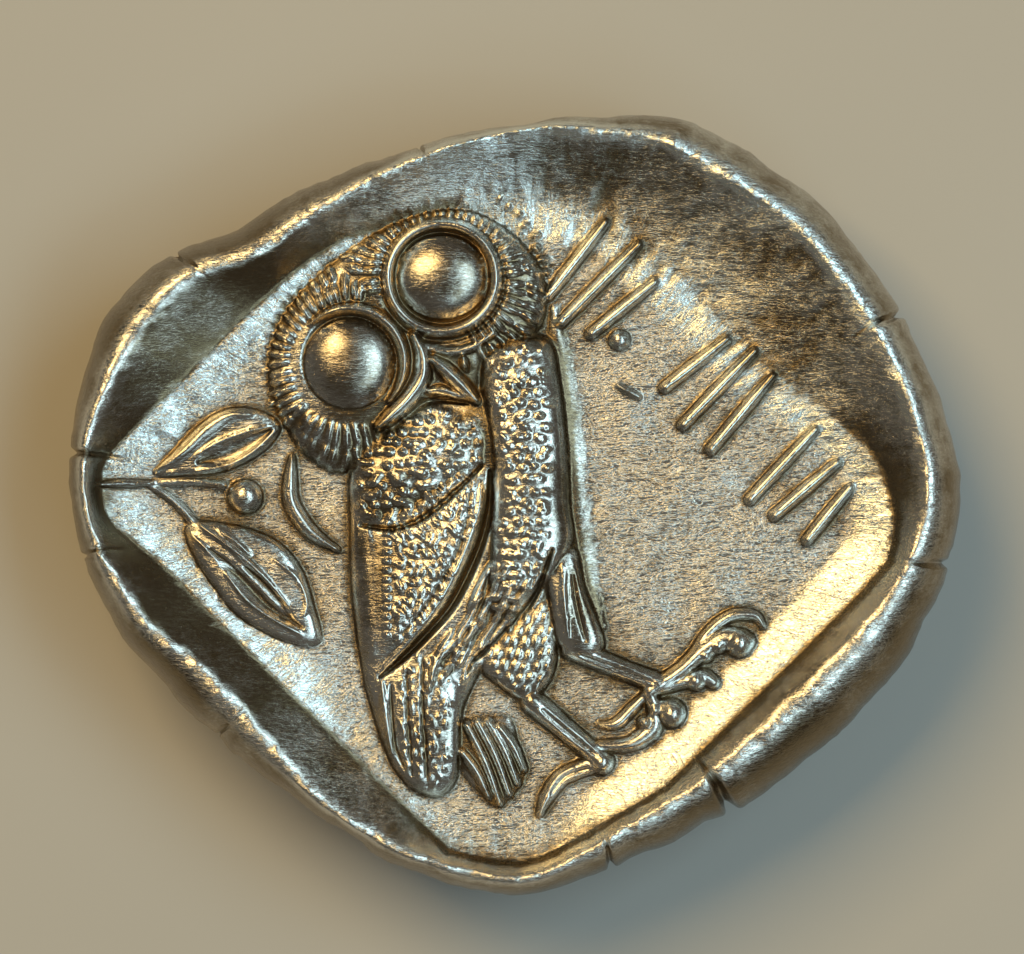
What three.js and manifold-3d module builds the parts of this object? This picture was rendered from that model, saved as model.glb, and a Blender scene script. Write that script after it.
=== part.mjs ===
// A struck silver tetradrachm, lying flat with its owl side up, as one solid.
// Millimetres. +Z runs through the thickness, from the head side (z = 0) up to the owl side. +X is the
// long way of the flan, and the origin lies under the middle of its outline.
//
// The flan is a stack of rings, from the middle of one face round the edge to the middle of the other.
// Every form of the relief is a stack of rings too: a cushion that narrows upwards, or a limb that
// follows a line. They are joined to the flan, the sockets and splits are cut from it, and the worn
// top of the head is cut flat.
import * as THREE from "three";
import { mergeVertices } from "three/addons/utils/BufferGeometryUtils.js";
import Module from "manifold-3d";

// ---- Driving dimensions: the flan ----

// The widest line round the edge, anticlockwise from +X.
const FLAN = [
  [12.7, 0.4], [11.4, 4.8], [8.7, 8.6], [4.9, 10.95], [2.4, 11.15], [-2.2, 10.45], [-6.4, 8.85],
  [-8.3, 7.75], [-9.6, 7.35], [-10.8, 6.5], [-11.9, 5.0], [-12.7, 1.0], [-11.7, -2.9], [-8.4, -6.7],
  [-4.4, -9.6], [-2.3, -10.6], [0.2, -11.1], [2.6, -10.4], [7.4, -7.9], [11.2, -4.2],
];
// How far inside it the lip of the upturned rim lies, every 30 degrees from +X.
const LIP_INSET = [1.1, 1.1, 1.05, 0.4, 0.8, 1.1, 0.55, 1.3, 0.55, 0.7, 1.25, 1.65];
const EQUATOR = 3.4; // height of the widest line
const LIP_Z = 5.95;
const LIP_SWING = 0.1; // the lip stands this much higher at the flan's two far ends
const FIELD_Z = 4.85; // floor of the sunken square on the owl side
const HEAD_FIELD_Z = 1.25; // the plain ground round the head, at its middle
const HEAD_FIELD_LIFT = 0.75; // how much further up that ground is at the edge
const HEAD_EDGE = 1.6; // width of the rounded edge on the head side

// The square that the punch sank: a rounded square turned on its corner.
const SQUARE = { x: 0.2, y: 0.4, half: 8.5, turn: 45, corner: 1.3 };
const LEAST_WALL = 0.5; // width of the wall where the flan is smaller than the punch
const RAMP = [ // the ground falls away from the wall: distance from its foot, and height
  [0, 0.24],
  [0.9, 0.07],
  [1.8, 0],
];

// Splits in the rim: the angle they lie at, how far in they reach, and their half width. The wedges
// that cut them run in above the lip.
const SPLIT = { height: 3, aboveLip: 0.35, beyondEdge: 1, innerShare: 0.4, outerShare: 1.2 };
const SPLITS = [
  { at: -54.5, reach: 1.7, half: 0.45 },
  { at: -75, reach: 1.1, half: 0.3 },
  { at: 26.5, reach: 1.2, half: 0.2 },
  { at: -7.5, reach: 1.1, half: 0.22 },
  { at: 173, reach: 0.9, half: 0.28 },
  { at: 143.5, reach: 1.0, half: 0.2 },
];

// ---- Driving dimensions: the owl side. Heights stand above the sunken ground. ----

const HEAD = { x: -3.1, y: 4.85, long: 4.55, short: 2.7, turn: 40, rise: 0.66 };
const EYES = [
  { x: -4.68, y: 4.12, ball: 1.14, ring: 1.52, disc: 2.1, from: -80, to: 25 },
  { x: -2.05, y: 6.35, ball: 1.14, ring: 1.47, disc: 2.05, from: -130, to: -35 },
];
const EYE = {
  socket: 0.42,
  cut: 1,
  lean: 0.1,
  ballRise: 0.95,
  ringHalf: 0.2,
  ringRise: 0.92,
  discHalf: 0.22,
  discRise: 0.86,
};

const CUSHIONS = [
  { name: "breast", rise: 0.85, edge: [
    [-0.8, 4.4], [0.3, 4.8], [1.1, 4.6], [1.35, 3.4], [1.45, 2.2], [1.55, 0.8], [1.6, -0.6], [1.5, -1.6],
    [0.9, -2.4], [0.2, -3.1], [-0.7, -3.4], [-1.0, -2.4], [-0.9, -1.0], [-0.8, 0.6], [-0.85, 2.4]] },
  { name: "shoulder", rise: 0.98, edge: [
    [-4.45, 1.4], [-3.7, 2.3], [-2.5, 2.95], [-1.4, 2.8], [-0.85, 2.1], [-0.8, 1.1], [-1.6, 0.3],
    [-2.3, -0.1], [-3.1, -0.4], [-4.3, -0.5], [-4.6, 0.4]] },
  { name: "wing", rise: 0.74, edge: [
    [-4.5, 0.6], [-2.4, 0.9], [-0.9, 1.15], [-0.8, 0.4], [-0.9, -0.3], [-1.15, -1.1], [-1.5, -2.0],
    [-2.0, -2.9], [-2.6, -3.7], [-3.2, -4.3], [-3.9, -4.85], [-4.35, -4.2], [-4.5, -2.2]] },
  { name: "rump", rise: 0.56, edge: [
    [-1.3, -1.6], [0.9, -1.6], [0.7, -2.3], [0.1, -3.1], [-0.6, -3.8], [-1.2, -4.5], [-1.5, -5.6],
    [-2.3, -5.0], [-2.6, -4.0], [-1.9, -2.7]] },
  { name: "tail", rise: 0.52, edge: [
    [-4.25, -4.3], [-3.3, -4.0], [-2.4, -3.8], [-1.5, -4.8], [-1.55, -6.2], [-1.6, -7.2], [-1.8, -7.9],
    [-2.3, -8.2], [-2.9, -8.0], [-3.4, -7.5], [-3.8, -6.6], [-4.15, -5.5]] },
  { name: "tail tip", rise: 0.36, edge: [
    [-1.7, -6.2], [-0.8, -6.0], [-0.1, -6.0], [0.1, -6.9], [0.25, -7.7], [-0.1, -8.25], [-0.55, -8.5],
    [-1.05, -8.1], [-1.7, -7.4]] },
  { name: "near thigh", rise: 0.52, edge: [
    [0.8, -0.9], [1.6, -1.0], [1.9, -2.2], [2.3, -3.1], [2.5, -4.1], [1.9, -4.4], [1.3, -4.0], [0.9, -2.6]] },
  { name: "far thigh", rise: 0.42, edge: [
    [0.2, -2.6], [1.0, -2.4], [1.2, -4.0], [1.0, -4.9], [0.3, -5.6], [-0.5, -5.2], [-1.1, -4.7],
    [-0.5, -3.5]] },
  { name: "upper leaf", rise: 0.42, edge: [
    [-10.4, 0.8], [-9.6, 1.6], [-8.8, 2.4], [-8.0, 2.8], [-7.2, 2.7], [-6.55, 2.2], [-6.8, 1.75],
    [-7.4, 1.35], [-8.2, 1.05], [-9.2, 0.85]] },
  { name: "lower leaf", rise: 0.42, edge: [
    [-9.3, -0.4], [-8.3, -0.45], [-7.4, -0.65], [-6.6, -1.05], [-6.05, -1.8], [-5.75, -2.7],
    [-5.55, -3.85], [-6.3, -3.85], [-7.1, -3.6], [-7.9, -3.05], [-8.5, -2.3], [-9.1, -1.4]] },
];

// Limbs follow a line: [x, y, half width] at each joint. `height` is their height per half width.
const LIMBS = [
  { name: "near shank", height: 1.3, line: [[1.6, -4.0, 0.32], [4.05, -5.0, 0.3]] },
  { name: "far shank", height: 1.3, line: [[0.5, -5.5, 0.34], [2.3, -7.1, 0.31]] },
  { name: "front toe", height: 1.3, line: [
    [3.9, -5.1, 0.28], [4.8, -4.55, 0.26], [5.5, -3.95, 0.32], [6.0, -3.7, 0.36], [6.5, -3.75, 0.28]] },
  { name: "front claw", height: 1.2, line: [
    [5.0, -4.2, 0.14], [5.6, -3.4, 0.18], [6.2, -3.05, 0.18], [6.95, -3.15, 0.12]] },
  { name: "inner toe", height: 1.3, line: [[3.9, -5.1, 0.26], [4.6, -5.0, 0.22], [5.45, -4.85, 0.27]] },
  { name: "side toe", height: 1.3, line: [[3.8, -5.2, 0.22], [3.95, -5.7, 0.28], [4.35, -5.8, 0.4]] },
  { name: "web", height: 1.2, line: [[3.7, -5.3, 0.18], [3.2, -5.8, 0.2], [2.6, -6.2, 0.18]] },
  { name: "far front toe", height: 1.3, line: [
    [2.2, -6.7, 0.2], [3.1, -6.7, 0.24], [3.7, -6.4, 0.32], [3.85, -5.95, 0.24]] },
  { name: "hind toe", height: 1.2, line: [
    [2.4, -7.3, 0.32], [1.6, -7.5, 0.32], [1.05, -7.9, 0.26], [0.7, -8.55, 0.14]] },
  { name: "beak", height: 3.2, line: [[-2.3, 4.15, 0.26], [-1.7, 3.65, 0.32], [-1.05, 3.1, 0.2]] },
  { name: "stalk", height: 1.7, line: [
    [-11.5, 0.65, 0.13], [-10.2, 0.66, 0.13], [-9.2, 0.74, 0.12], [-8.1, 0.6, 0.1]] },
  { name: "leaf stalk", height: 1.7, line: [[-10.4, 0.6, 0.12], [-9.7, 0.2, 0.14], [-9.1, -0.5, 0.16]] },
  { name: "crescent", height: 1.4, line: [
    [-6.35, 1.35, 0.08], [-6.4, 0.6, 0.2], [-6.25, -0.1, 0.24], [-5.8, -0.75, 0.2], [-4.95, -1.3, 0.08]] },
];
const BERRY = { x: -7.62, y: 0.38, r: 0.52, rise: 0.45 };

// Rows of short strokes where a legend would be: each row's middle, its strokes' lengths and leans.
const STROKE_ROWS = [
  { x: 2.4, y: 6.3, lengths: [2.6, 3.1, 2.3], leans: [52, 45, 39] },
  { x: 5.75, y: 3.35, lengths: [2.2, 2.9, 2.7], leans: [38, 46, 50] },
  { x: 8.2, y: 0.5, lengths: [2.7, 2.3, 1.9], leans: [47, 40, 51] },
];
const STROKE = { spacing: 0.95, half: 0.2, height: 1.6, rowTurn: -47 };

// ---- Driving dimensions: the head side. It is drawn as seen with the coin turned over. ----

const BOWL = { x: -0.7, y: 1.9, long: 5.5, short: 5.1, turn: 20, rise: 1.36 }; // the helmet's bowl
const FACE_SIDE = [
  { name: "face", rise: 1.2, edge: [
    [3.6, 3.4], [4.3, 2.5], [4.6, 1.3], [5.1, 0.2], [5.6, -0.6], [5.05, -1.0], [5.15, -1.5], [4.9, -1.85],
    [5.05, -2.3], [4.6, -2.75], [4.7, -3.5], [4.1, -4.2], [2.6, -4.4], [0.8, -4.4], [-1.6, -3.8],
    [-2.4, -1.5], [-1.0, 1.5], [1.5, 3.2]] },
  { name: "neck", rise: 0.95, edge: [
    [1.8, -3.8], [1.6, -5.4], [1.8, -6.6], [2.6, -7.8], [0.4, -8.4], [-2.6, -8.0], [-3.3, -6.4],
    [-3.2, -4.4], [-1.6, -2.8]] },
  { name: "neck guard", rise: 1.05, edge: [
    [-2.6, -0.6], [-2.6, -2.4], [-3.4, -3.7], [-5.2, -4.3], [-6.2, -4.0], [-5.9, -2.2], [-5.4, -0.2],
    [-4.2, 0.6]] },
];
const CREST = { x: -0.8, y: 1.6, radius: 7.0, half: 0.8, height: 1.35, from: 38, to: 205 };
const FACE_LIMBS = [
  { name: "brim", height: 4.2, line: [
    [4.5, 2.7, 0.28], [1.4, 1.5, 0.32], [-1.4, -1.1, 0.32], [-3.0, -3.3, 0.3], [-5.9, -4.0, 0.24]] },
  { name: "eye", height: 4.6, line: [[2.7, 0.35, 0.18], [3.3, 0.45, 0.3], [3.95, 0.3, 0.16]] },
  { name: "lips", height: 3.6, line: [[3.9, -2.1, 0.2], [4.9, -2.05, 0.3]] },
];
const FACE_BALLS = [
  { name: "cheek", x: 1.7, y: -1.8, r: 2.2, rise: 1.38 },
  { name: "ear", x: -0.5, y: -1.2, r: 0.8, rise: 1.36 },
  { name: "ear drop", x: -0.3, y: -2.7, r: 0.52, rise: 1.34 },
];

// ---- Facets ----

const AROUND_FLAN = 84; // points in each ring of the flan
const EDGE_RINGS = 3; // rings in each quarter round of the edge
const HEAD_RINGS = [0.45, 0.8]; // rings on the head side's ground, as shares of its reach
const AROUND_CUSHION = 20;
const AROUND_OVAL = 28;
const AROUND_LIMB = 8;
const AROUND_EYE = 24;
const SUNK = 0.35; // how far a form's foot lies under the ground
const CUSHION_TURNS = [0, 0.3, 0.62, 0.9]; // a cushion's rings, as shares of a quarter turn
const LIMB_END = { beyond: 0.75, half: 0.5 }; // the small ring past a limb's end, per half width

// ---- Geometry ----

const radians = THREE.MathUtils.degToRad;
const vector = (x, y, z = 0) => new THREE.Vector3(x, y, z);
const vector2 = (x, y) => new THREE.Vector2(x, y);
const middleOf = (points) => points.reduce((sum, p) => sum.add(p), vector(0, 0)).divideScalar(points.length);

// A closed body from rings with equal numbers of points, closed at both ends by a fan.
function stack(rings) {
  const count = rings[0].length;
  const points = [...rings.flat(), middleOf(rings[0]), middleOf(rings[rings.length - 1])];
  const [start, end] = [points.length - 2, points.length - 1];
  const index = [];
  for (let k = 0; k < rings.length; k++)
    for (let i = 0; i < count; i++) {
      const a = k * count + i;
      const b = k * count + ((i + 1) % count);
      if (k === 0) index.push(start, b, a);
      if (k === rings.length - 1) index.push(a, b, end);
      else index.push(a, b, b + count, a, b + count, a + count);
    }
  const geometry = new THREE.BufferGeometry().setFromPoints(points);
  geometry.setIndex(index);
  return geometry;
}

// A smooth closed line through the points.
function loop(points, count) {
  const through = points.map(([x, y]) => vector(x, y));
  return new THREE.CatmullRomCurve3(through, true, "centripetal").getPoints(count).slice(1);
}

const anticlockwise = (line) => (THREE.ShapeUtils.area(line) < 0 ? line.reverse() : line);

// A cushion over a closed line. It narrows towards the middle as it rises, with a full shoulder.
function cushionOver(line, rise) {
  const middle = middleOf(line);
  const ring = (share, z) => line.map((p) => p.clone().lerp(middle, 1 - share).setZ(z));
  const rings = CUSHION_TURNS.map((share) => {
    const turn = share * (Math.PI / 2);
    return ring(Math.sqrt(Math.cos(turn)), rise * Math.sin(turn));
  });
  return stack([ring(1, -SUNK), ...rings]);
}

const cushion = ({ edge, rise }) => cushionOver(anticlockwise(loop(edge, AROUND_CUSHION)), rise);

// A cushion over an ellipse of the given half axes.
function oval({ x, y, long, short, turn, rise }) {
  const curve = new THREE.EllipseCurve(x, y, long, short, 0, 2 * Math.PI, false, radians(turn));
  return cushionOver(curve.getPoints(AROUND_OVAL).slice(1).map((p) => vector(p.x, p.y)), rise);
}

const ball = ({ x, y, r, rise }) =>
  new THREE.SphereGeometry(1, 16, 8).rotateX(Math.PI / 2).scale(r, r, rise).translate(x, y, 0);

// A limb along a smooth line on the ground. Its section is a flattened round, `height` times as high
// as its half width, and its ends are rounded off.
function limb({ line, height }, perJoint = 2) {
  const curve = new THREE.CatmullRomCurve3(line.map(([x, y, half]) => vector(x, y, half)));
  const count = line.length === 2 ? 1 : (line.length - 1) * perJoint;
  const stations = curve.getPoints(count).map(({ x, y, z: half }, i) => {
    const along = curve.getTangent(i / count).setZ(0).normalize();
    return { x, y, half, along };
  });
  const beyond = ({ x, y, half, along }, side) => ({
    x: x + side * along.x * half * LIMB_END.beyond,
    y: y + side * along.y * half * LIMB_END.beyond,
    half: half * LIMB_END.half,
    along,
  });
  const all = [beyond(stations[0], -1), ...stations, beyond(stations[count], 1)];
  const rings = all.map(({ x, y, half, along }) =>
    Array.from({ length: AROUND_LIMB }, (_, i) => {
      const turn = (i / AROUND_LIMB) * 2 * Math.PI;
      const across = Math.cos(turn) * half;
      return vector(x - along.y * across, y + along.x * across, Math.sin(turn) * half * height);
    }),
  );
  return stack(rings);
}

// Part of a circle as a limb's line.
function arcLine({ x, y, radius, half, from, to }, steps) {
  return Array.from({ length: steps + 1 }, (_, i) => {
    const angle = radians(from + ((to - from) * i) / steps);
    return [x + radius * Math.cos(angle), y + radius * Math.sin(angle), half];
  });
}

// The distance from the middle to a closed line, as a function of the angle.
function reachOf(points) {
  const line = loop(points, points.length * 16);
  const list = line.map((p) => ({ angle: Math.atan2(p.y, p.x), reach: p.length() }));
  return (angle) => {
    const apart = (entry) => 1 - Math.cos(entry.angle - angle);
    return list.reduce((best, entry) => (apart(entry) < apart(best) ? entry : best)).reach;
  };
}

const flanReach = reachOf(FLAN);
const lipInset = new THREE.SplineCurve([...LIP_INSET, LIP_INSET[0]].map((inset) => vector2(0, inset)));
const lipReach = (angle) => {
  const turn = THREE.MathUtils.euclideanModulo(angle / (2 * Math.PI), 1);
  return flanReach(angle) - lipInset.getPoint(turn).y;
};
const lipHeight = (angle) => LIP_Z + LIP_SWING * Math.cos(2 * angle);

// How far outside the rounded square a point lies.
function outsideSquare(x, y) {
  const cos = Math.cos(radians(SQUARE.turn));
  const sin = Math.sin(radians(SQUARE.turn));
  const u = Math.abs((x - SQUARE.x) * cos + (y - SQUARE.y) * sin) - SQUARE.half + SQUARE.corner;
  const v = Math.abs((y - SQUARE.y) * cos - (x - SQUARE.x) * sin) - SQUARE.half + SQUARE.corner;
  return Math.hypot(Math.max(u, 0), Math.max(v, 0)) + Math.min(Math.max(u, v), 0) - SQUARE.corner;
}

// The wall's foot: the square's side, or a little inside the lip where the square runs off the flan.
function footReach(angle) {
  let [inside, outside] = [0, lipReach(angle) - LEAST_WALL];
  if (outsideSquare(outside * Math.cos(angle), outside * Math.sin(angle)) <= 0) return outside;
  while (outside - inside > 1e-4) {
    const middle = (inside + outside) / 2;
    if (outsideSquare(middle * Math.cos(angle), middle * Math.sin(angle)) > 0) outside = middle;
    else inside = middle;
  }
  return inside;
}

function flan() {
  const angles = Array.from({ length: AROUND_FLAN }, (_, i) => (i / AROUND_FLAN) * 2 * Math.PI);
  const ring = (reach, z) =>
    angles.map((angle) => {
      const r = reach(angle);
      return vector(r * Math.cos(angle), r * Math.sin(angle), z(angle, r));
    });
  const headGround = (angle, r) => HEAD_FIELD_Z + HEAD_FIELD_LIFT * (r / FLAN[0][0]) ** 2;
  const headShoulder = (angle) => flanReach(angle) - HEAD_EDGE;
  const rings = HEAD_RINGS.map((share) => ring((angle) => headShoulder(angle) * share, headGround));
  for (let k = 0; k <= EDGE_RINGS; k++) {
    const turn = (k / EDGE_RINGS) * (Math.PI / 2);
    const reach = (angle) => headShoulder(angle) + HEAD_EDGE * Math.sin(turn);
    const drop = (angle) => EQUATOR - headGround(angle, headShoulder(angle));
    rings.push(ring(reach, (angle) => EQUATOR - drop(angle) * Math.cos(turn)));
  }
  for (let k = 1; k <= EDGE_RINGS; k++) {
    const turn = (k / EDGE_RINGS) * (Math.PI / 2);
    const reach = (angle) => lipReach(angle) + (flanReach(angle) - lipReach(angle)) * Math.cos(turn);
    rings.push(ring(reach, (angle) => EQUATOR + (lipHeight(angle) - EQUATOR) * Math.sin(turn)));
  }
  for (const [inward, rise] of RAMP)
    rings.push(ring((angle) => footReach(angle) - inward, () => FIELD_Z + rise));
  return stack(rings);
}

function strokes({ x, y, lengths, leans }) {
  const turn = radians(STROKE.rowTurn);
  return lengths.map((length, i) => {
    const along = (i - (lengths.length - 1) / 2) * STROKE.spacing;
    const [cx, cy] = [x + along * Math.cos(turn), y + along * Math.sin(turn)];
    const dx = (Math.cos(radians(leans[i])) * length) / 2;
    const dy = (Math.sin(radians(leans[i])) * length) / 2;
    const line = [[cx - dx, cy - dy, STROKE.half], [cx + dx, cy + dy, STROKE.half]];
    return limb({ line, height: STROKE.height });
  });
}

// A socket is cut down to a floor, and its sides lean out a little.
function socket({ x, y, ring }) {
  const hole = new THREE.CylinderGeometry(ring, ring - EYE.lean, EYE.cut, AROUND_EYE);
  return hole.rotateX(Math.PI / 2).translate(x, y, EYE.socket + EYE.cut / 2);
}

const hoop = (x, y, radius, half, rise) =>
  new THREE.TorusGeometry(radius, half, 6, AROUND_EYE).scale(1, 1, rise / half).translate(x, y, 0);

const eye = ({ x, y, ball: r, ring, disc, from, to }) => [
  ball({ x, y, r, rise: EYE.ballRise }),
  hoop(x, y, ring, EYE.ringHalf, EYE.ringRise),
  limb({
    line: arcLine({ x, y, radius: disc, half: EYE.discHalf, from, to }, 4),
    height: EYE.discRise / EYE.discHalf,
  }),
];

// A wedge across the rim at its lip.
function split({ at, reach, half }) {
  const point = (r, width) => [r * Math.cos(radians(at)), r * Math.sin(radians(at)), width];
  const inner = lipReach(radians(at)) - reach / 2;
  const outer = flanReach(radians(at)) + SPLIT.beyondEdge;
  const line = [point(inner, half * SPLIT.innerShare), point(outer, half * SPLIT.outerShare)];
  return limb({ line, height: SPLIT.height });
}

// ---- Joining and cutting ----

const wasm = await Module();
wasm.setup();

function solid(geometry) {
  geometry.deleteAttribute("normal");
  geometry.deleteAttribute("uv");
  const merged = mergeVertices(geometry, 1e-5);
  const vertProperties = new Float32Array(merged.attributes.position.array);
  const triVerts = new Uint32Array(merged.index.array);
  return new wasm.Manifold(new wasm.Mesh({ numProp: 3, vertProperties, triVerts }));
}

const join = (body, geometries) => geometries.reduce((sum, one) => sum.add(solid(one)), body);
const cut = (body, geometries) => geometries.reduce((rest, one) => rest.subtract(solid(one)), body);

const onField = (geometry) => geometry.translate(0, 0, FIELD_Z);
const onLip = (geometry) => geometry.translate(0, 0, LIP_Z + SPLIT.aboveLip);
const onHeadField = (geometry) => geometry.rotateY(Math.PI).translate(0, 0, HEAD_FIELD_Z); // turned over

let body = join(solid(flan()), [onField(oval(HEAD))]);
body = cut(body, EYES.map(socket).map(onField));
body = join(body, [
  ...EYES.flatMap(eye),
  ...CUSHIONS.map(cushion),
  ...LIMBS.map((form) => limb(form)),
  ball(BERRY),
  ...STROKE_ROWS.flatMap(strokes),
].map(onField));
body = join(body, [
  oval(BOWL),
  ...FACE_SIDE.map(cushion),
  limb({ line: arcLine(CREST, 10), height: CREST.height }, 1),
  ...FACE_LIMBS.map((form) => limb(form)),
  ...FACE_BALLS.map(ball),
].map(onHeadField));
const belowTable = new THREE.BoxGeometry(40, 40, 10).translate(0, 0, -5);
body = cut(body, [...SPLITS.map(split).map(onLip), belowTable]);

// The finished solid as a mesh, set over the middle of its outline.
function meshOf(manifold, name, material) {
  const { vertProperties, triVerts, numProp } = manifold.getMesh();
  const geometry = new THREE.BufferGeometry();
  const corner = (i) => vertProperties.slice(i * numProp, i * numProp + 3);
  const corners = Array.from(triVerts).flatMap((i) => Array.from(corner(i)));
  geometry.setAttribute("position", new THREE.Float32BufferAttribute(corners, 3));
  geometry.computeBoundingBox();
  const { min, max } = geometry.boundingBox;
  geometry.translate(-(min.x + max.x) / 2, -(min.y + max.y) / 2, -min.z);
  geometry.computeVertexNormals();
  const mesh = new THREE.Mesh(geometry, material);
  mesh.name = name;
  return mesh;
}

const silver = new THREE.MeshStandardMaterial({ color: 0xb9b2a4, roughness: 0.32, metalness: 1 });

const part = new THREE.Group();
part.add(meshOf(body, "coin", silver));

export default part;
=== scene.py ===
"""A struck silver tetradrachm, lying owl side up on a studio table.

Every form of the two faces is a height on a fine grid, in millimetres. Each face is then cut into
triangles, small where the relief bends and large where it is flat, and the two are sewn together
round the edge of the flan.
"""

import math

import bpy
import numpy as np
from bpy.props import FloatProperty, FloatVectorProperty, IntProperty, PointerProperty
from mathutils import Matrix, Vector


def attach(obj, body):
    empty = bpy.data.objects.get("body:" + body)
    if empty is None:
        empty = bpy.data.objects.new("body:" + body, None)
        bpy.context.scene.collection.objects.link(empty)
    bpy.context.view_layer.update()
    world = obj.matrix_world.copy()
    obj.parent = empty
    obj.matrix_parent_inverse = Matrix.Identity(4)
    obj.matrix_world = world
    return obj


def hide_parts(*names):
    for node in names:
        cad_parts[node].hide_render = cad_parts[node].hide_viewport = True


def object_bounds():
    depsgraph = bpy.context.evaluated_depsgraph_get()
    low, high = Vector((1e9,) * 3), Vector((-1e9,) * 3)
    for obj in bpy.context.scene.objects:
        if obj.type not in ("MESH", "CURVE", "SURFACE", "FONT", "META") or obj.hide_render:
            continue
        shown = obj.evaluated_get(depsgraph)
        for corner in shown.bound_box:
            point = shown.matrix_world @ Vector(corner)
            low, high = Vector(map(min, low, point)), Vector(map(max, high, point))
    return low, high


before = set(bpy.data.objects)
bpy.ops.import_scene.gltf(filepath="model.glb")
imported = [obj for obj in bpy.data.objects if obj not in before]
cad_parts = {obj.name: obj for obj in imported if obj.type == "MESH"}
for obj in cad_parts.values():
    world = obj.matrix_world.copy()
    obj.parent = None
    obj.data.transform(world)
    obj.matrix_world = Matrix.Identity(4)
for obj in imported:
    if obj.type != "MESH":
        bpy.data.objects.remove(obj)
CAD_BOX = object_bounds()

bl_info = {
    "name": "Tetradrachm",
    "version": (1, 0, 0),
    "blender": (4, 5, 0),
    "location": "View3D > Sidebar > Coin",
    "description": "Strikes a silver tetradrachm over its solid and lays it on a studio table",
    "category": "Add Mesh",
}

MM = 0.001  # a millimetre in Blender's metres
PIECE = "tetradrachm"

# ---- Driving dimensions: the flan, as in the solid ----

FLAN = [
    (12.7, 0.4), (11.4, 4.8), (8.7, 8.6), (4.9, 10.95), (2.4, 11.15), (-2.2, 10.45), (-6.4, 8.85),
    (-8.3, 7.75), (-9.6, 7.35), (-10.8, 6.5), (-11.9, 5.0), (-12.7, 1.0), (-11.7, -2.9), (-8.4, -6.7),
    (-4.4, -9.6), (-2.3, -10.6), (0.2, -11.1), (2.6, -10.4), (7.4, -7.9), (11.2, -4.2),
]
LIP_INSET = [1.1, 1.1, 1.05, 0.4, 0.8, 1.1, 0.55, 1.3, 0.55, 0.7, 1.25, 1.65]  # every 30 degrees
EQUATOR = 3.4  # height of the widest line
LIP_Z = 5.95
LIP_SWING = 0.1  # the lip stands this much higher at the flan's two far ends
FIELD_Z = 4.85  # floor of the sunken square on the owl side
HEAD_FIELD_Z = 1.25  # the plain ground round the head, at its middle
HEAD_FIELD_LIFT = 0.75  # how much further up that ground is at the edge
HEAD_EDGE = 1.6  # width of the rounded edge on the head side
WORN_FROM = 0.98  # the head's forms are worn down above this height
WALL = LIP_Z - FIELD_Z

# The unevenness round the flan: each wave's height, and its length in steps of the ring.
RING = 4096
EDGE_WAVES = [(0.035, 26), (0.012, 5)]
LIP_WAVES = [(0.04, 40), (0.012, 8)]
EDGE_INSET = 0.05  # keeps the uneven edge inside the solid's
FLAN_REACH = 12  # turns an angle into a length along the edge
NOTCH = 0.45  # how far a split cuts into the outline, for its depth

SQUARE = {"x": 0.2, "y": 0.4, "half": 8.5, "turn": 45, "corner": 1.3}
LEAST_WALL = 0.5  # width of the wall where the flan is smaller than the punch
FOOT_CURVE = 0.18  # how far the wall curves up from its foot
BROW_CURVE = 0.26  # and over to the lip
RAMP_RISE = 0.3  # the ground's rise at the wall's foot
RAMP_REACH = 0.9  # how far in that rise falls to about a third
EVEN_SIDE = 62  # the middle of the side that has no wall, in degrees
# Other sides: the middle, the cosine from it at which the side fades in, and how soon it is full.
WIDE_SIDE = (138, 0.6, 0.2)  # where the wall is wide
LOW_SIDE = (-100, 0.74, 0.16)  # where the ramp is low
DARK_SIDE = (45, 0.6, 0.25)  # where the ground is darkest, by toning and painted shade
BEVEL_SIDE = (-38, 0.72, 0.14)  # where the ramp is a flat bevel
BEVEL = {"width": 1.06, "rise": 0.32, "brow": 0.25}

# Splits through the rim: angle, how far in from the edge, half width, and depth at the edge.
SPLITS = [
    (-54.5, 1.7, 0.15, 0.9), (-75, 1.0, 0.10, 0.5), (26.5, 1.5, 0.09, 0.6), (-7.5, 1.4, 0.10, 0.5),
    (173, 1.5, 0.10, 0.5), (143.5, 1.2, 0.07, 0.4), (105, 0.8, 0.05, 0.2), (186.5, 1.3, 0.06, 0.3),
    (217.5, 1.2, 0.05, 0.25),
]

# ---- Driving dimensions: the owl side. Heights stand above the sunken ground. ----

# An eyeball, the groove's radius, and the rings: radius, half width, rise, and the angles they run between.
LEFT_EYE = {
    "x": -4.64, "y": 4.05, "long": 1.23, "short": 1.23, "rise": 0.95, "groove": 1.30,
    "rings": [(1.54, 0.2, 0.34, 135, -45)],
}
RIGHT_EYE = {
    "x": -2.05, "y": 6.45, "long": 1.29, "short": 1.13, "rise": 0.95, "groove": 1.32,
    "rings": [(1.52, 0.19, 0.26, 0, 375), (1.78, 0.08, -0.1, 200, 375)],
}
SOCKET = {"reach": 1.6, "floor": 0.40, "wall": 0.16, "ball_foot": 0.46}
RIM = {"gap": 0.03, "half": 0.07, "rise": 0.18}  # the thin rim round each eyeball

# The fringe's feathers: where they start and end from the eye's middle, how many degrees apart, how long.
FRINGE = {"start": 1.68, "least": 1.9, "furthest": 3.2, "apart": 7.2, "feather": 0.58}
FRINGE_SPANS = [(LEFT_EYE, 80, 305), (RIGHT_EYE, -62, 195)]
# Wisps that stand out round the head: the eye they point from, their angles, and how far out they are.
WISPS = [(LEFT_EYE, 95, 235, 2.42), (RIGHT_EYE, -50, 75, 2.82), (RIGHT_EYE, 80, 150, 2.1)]
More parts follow.
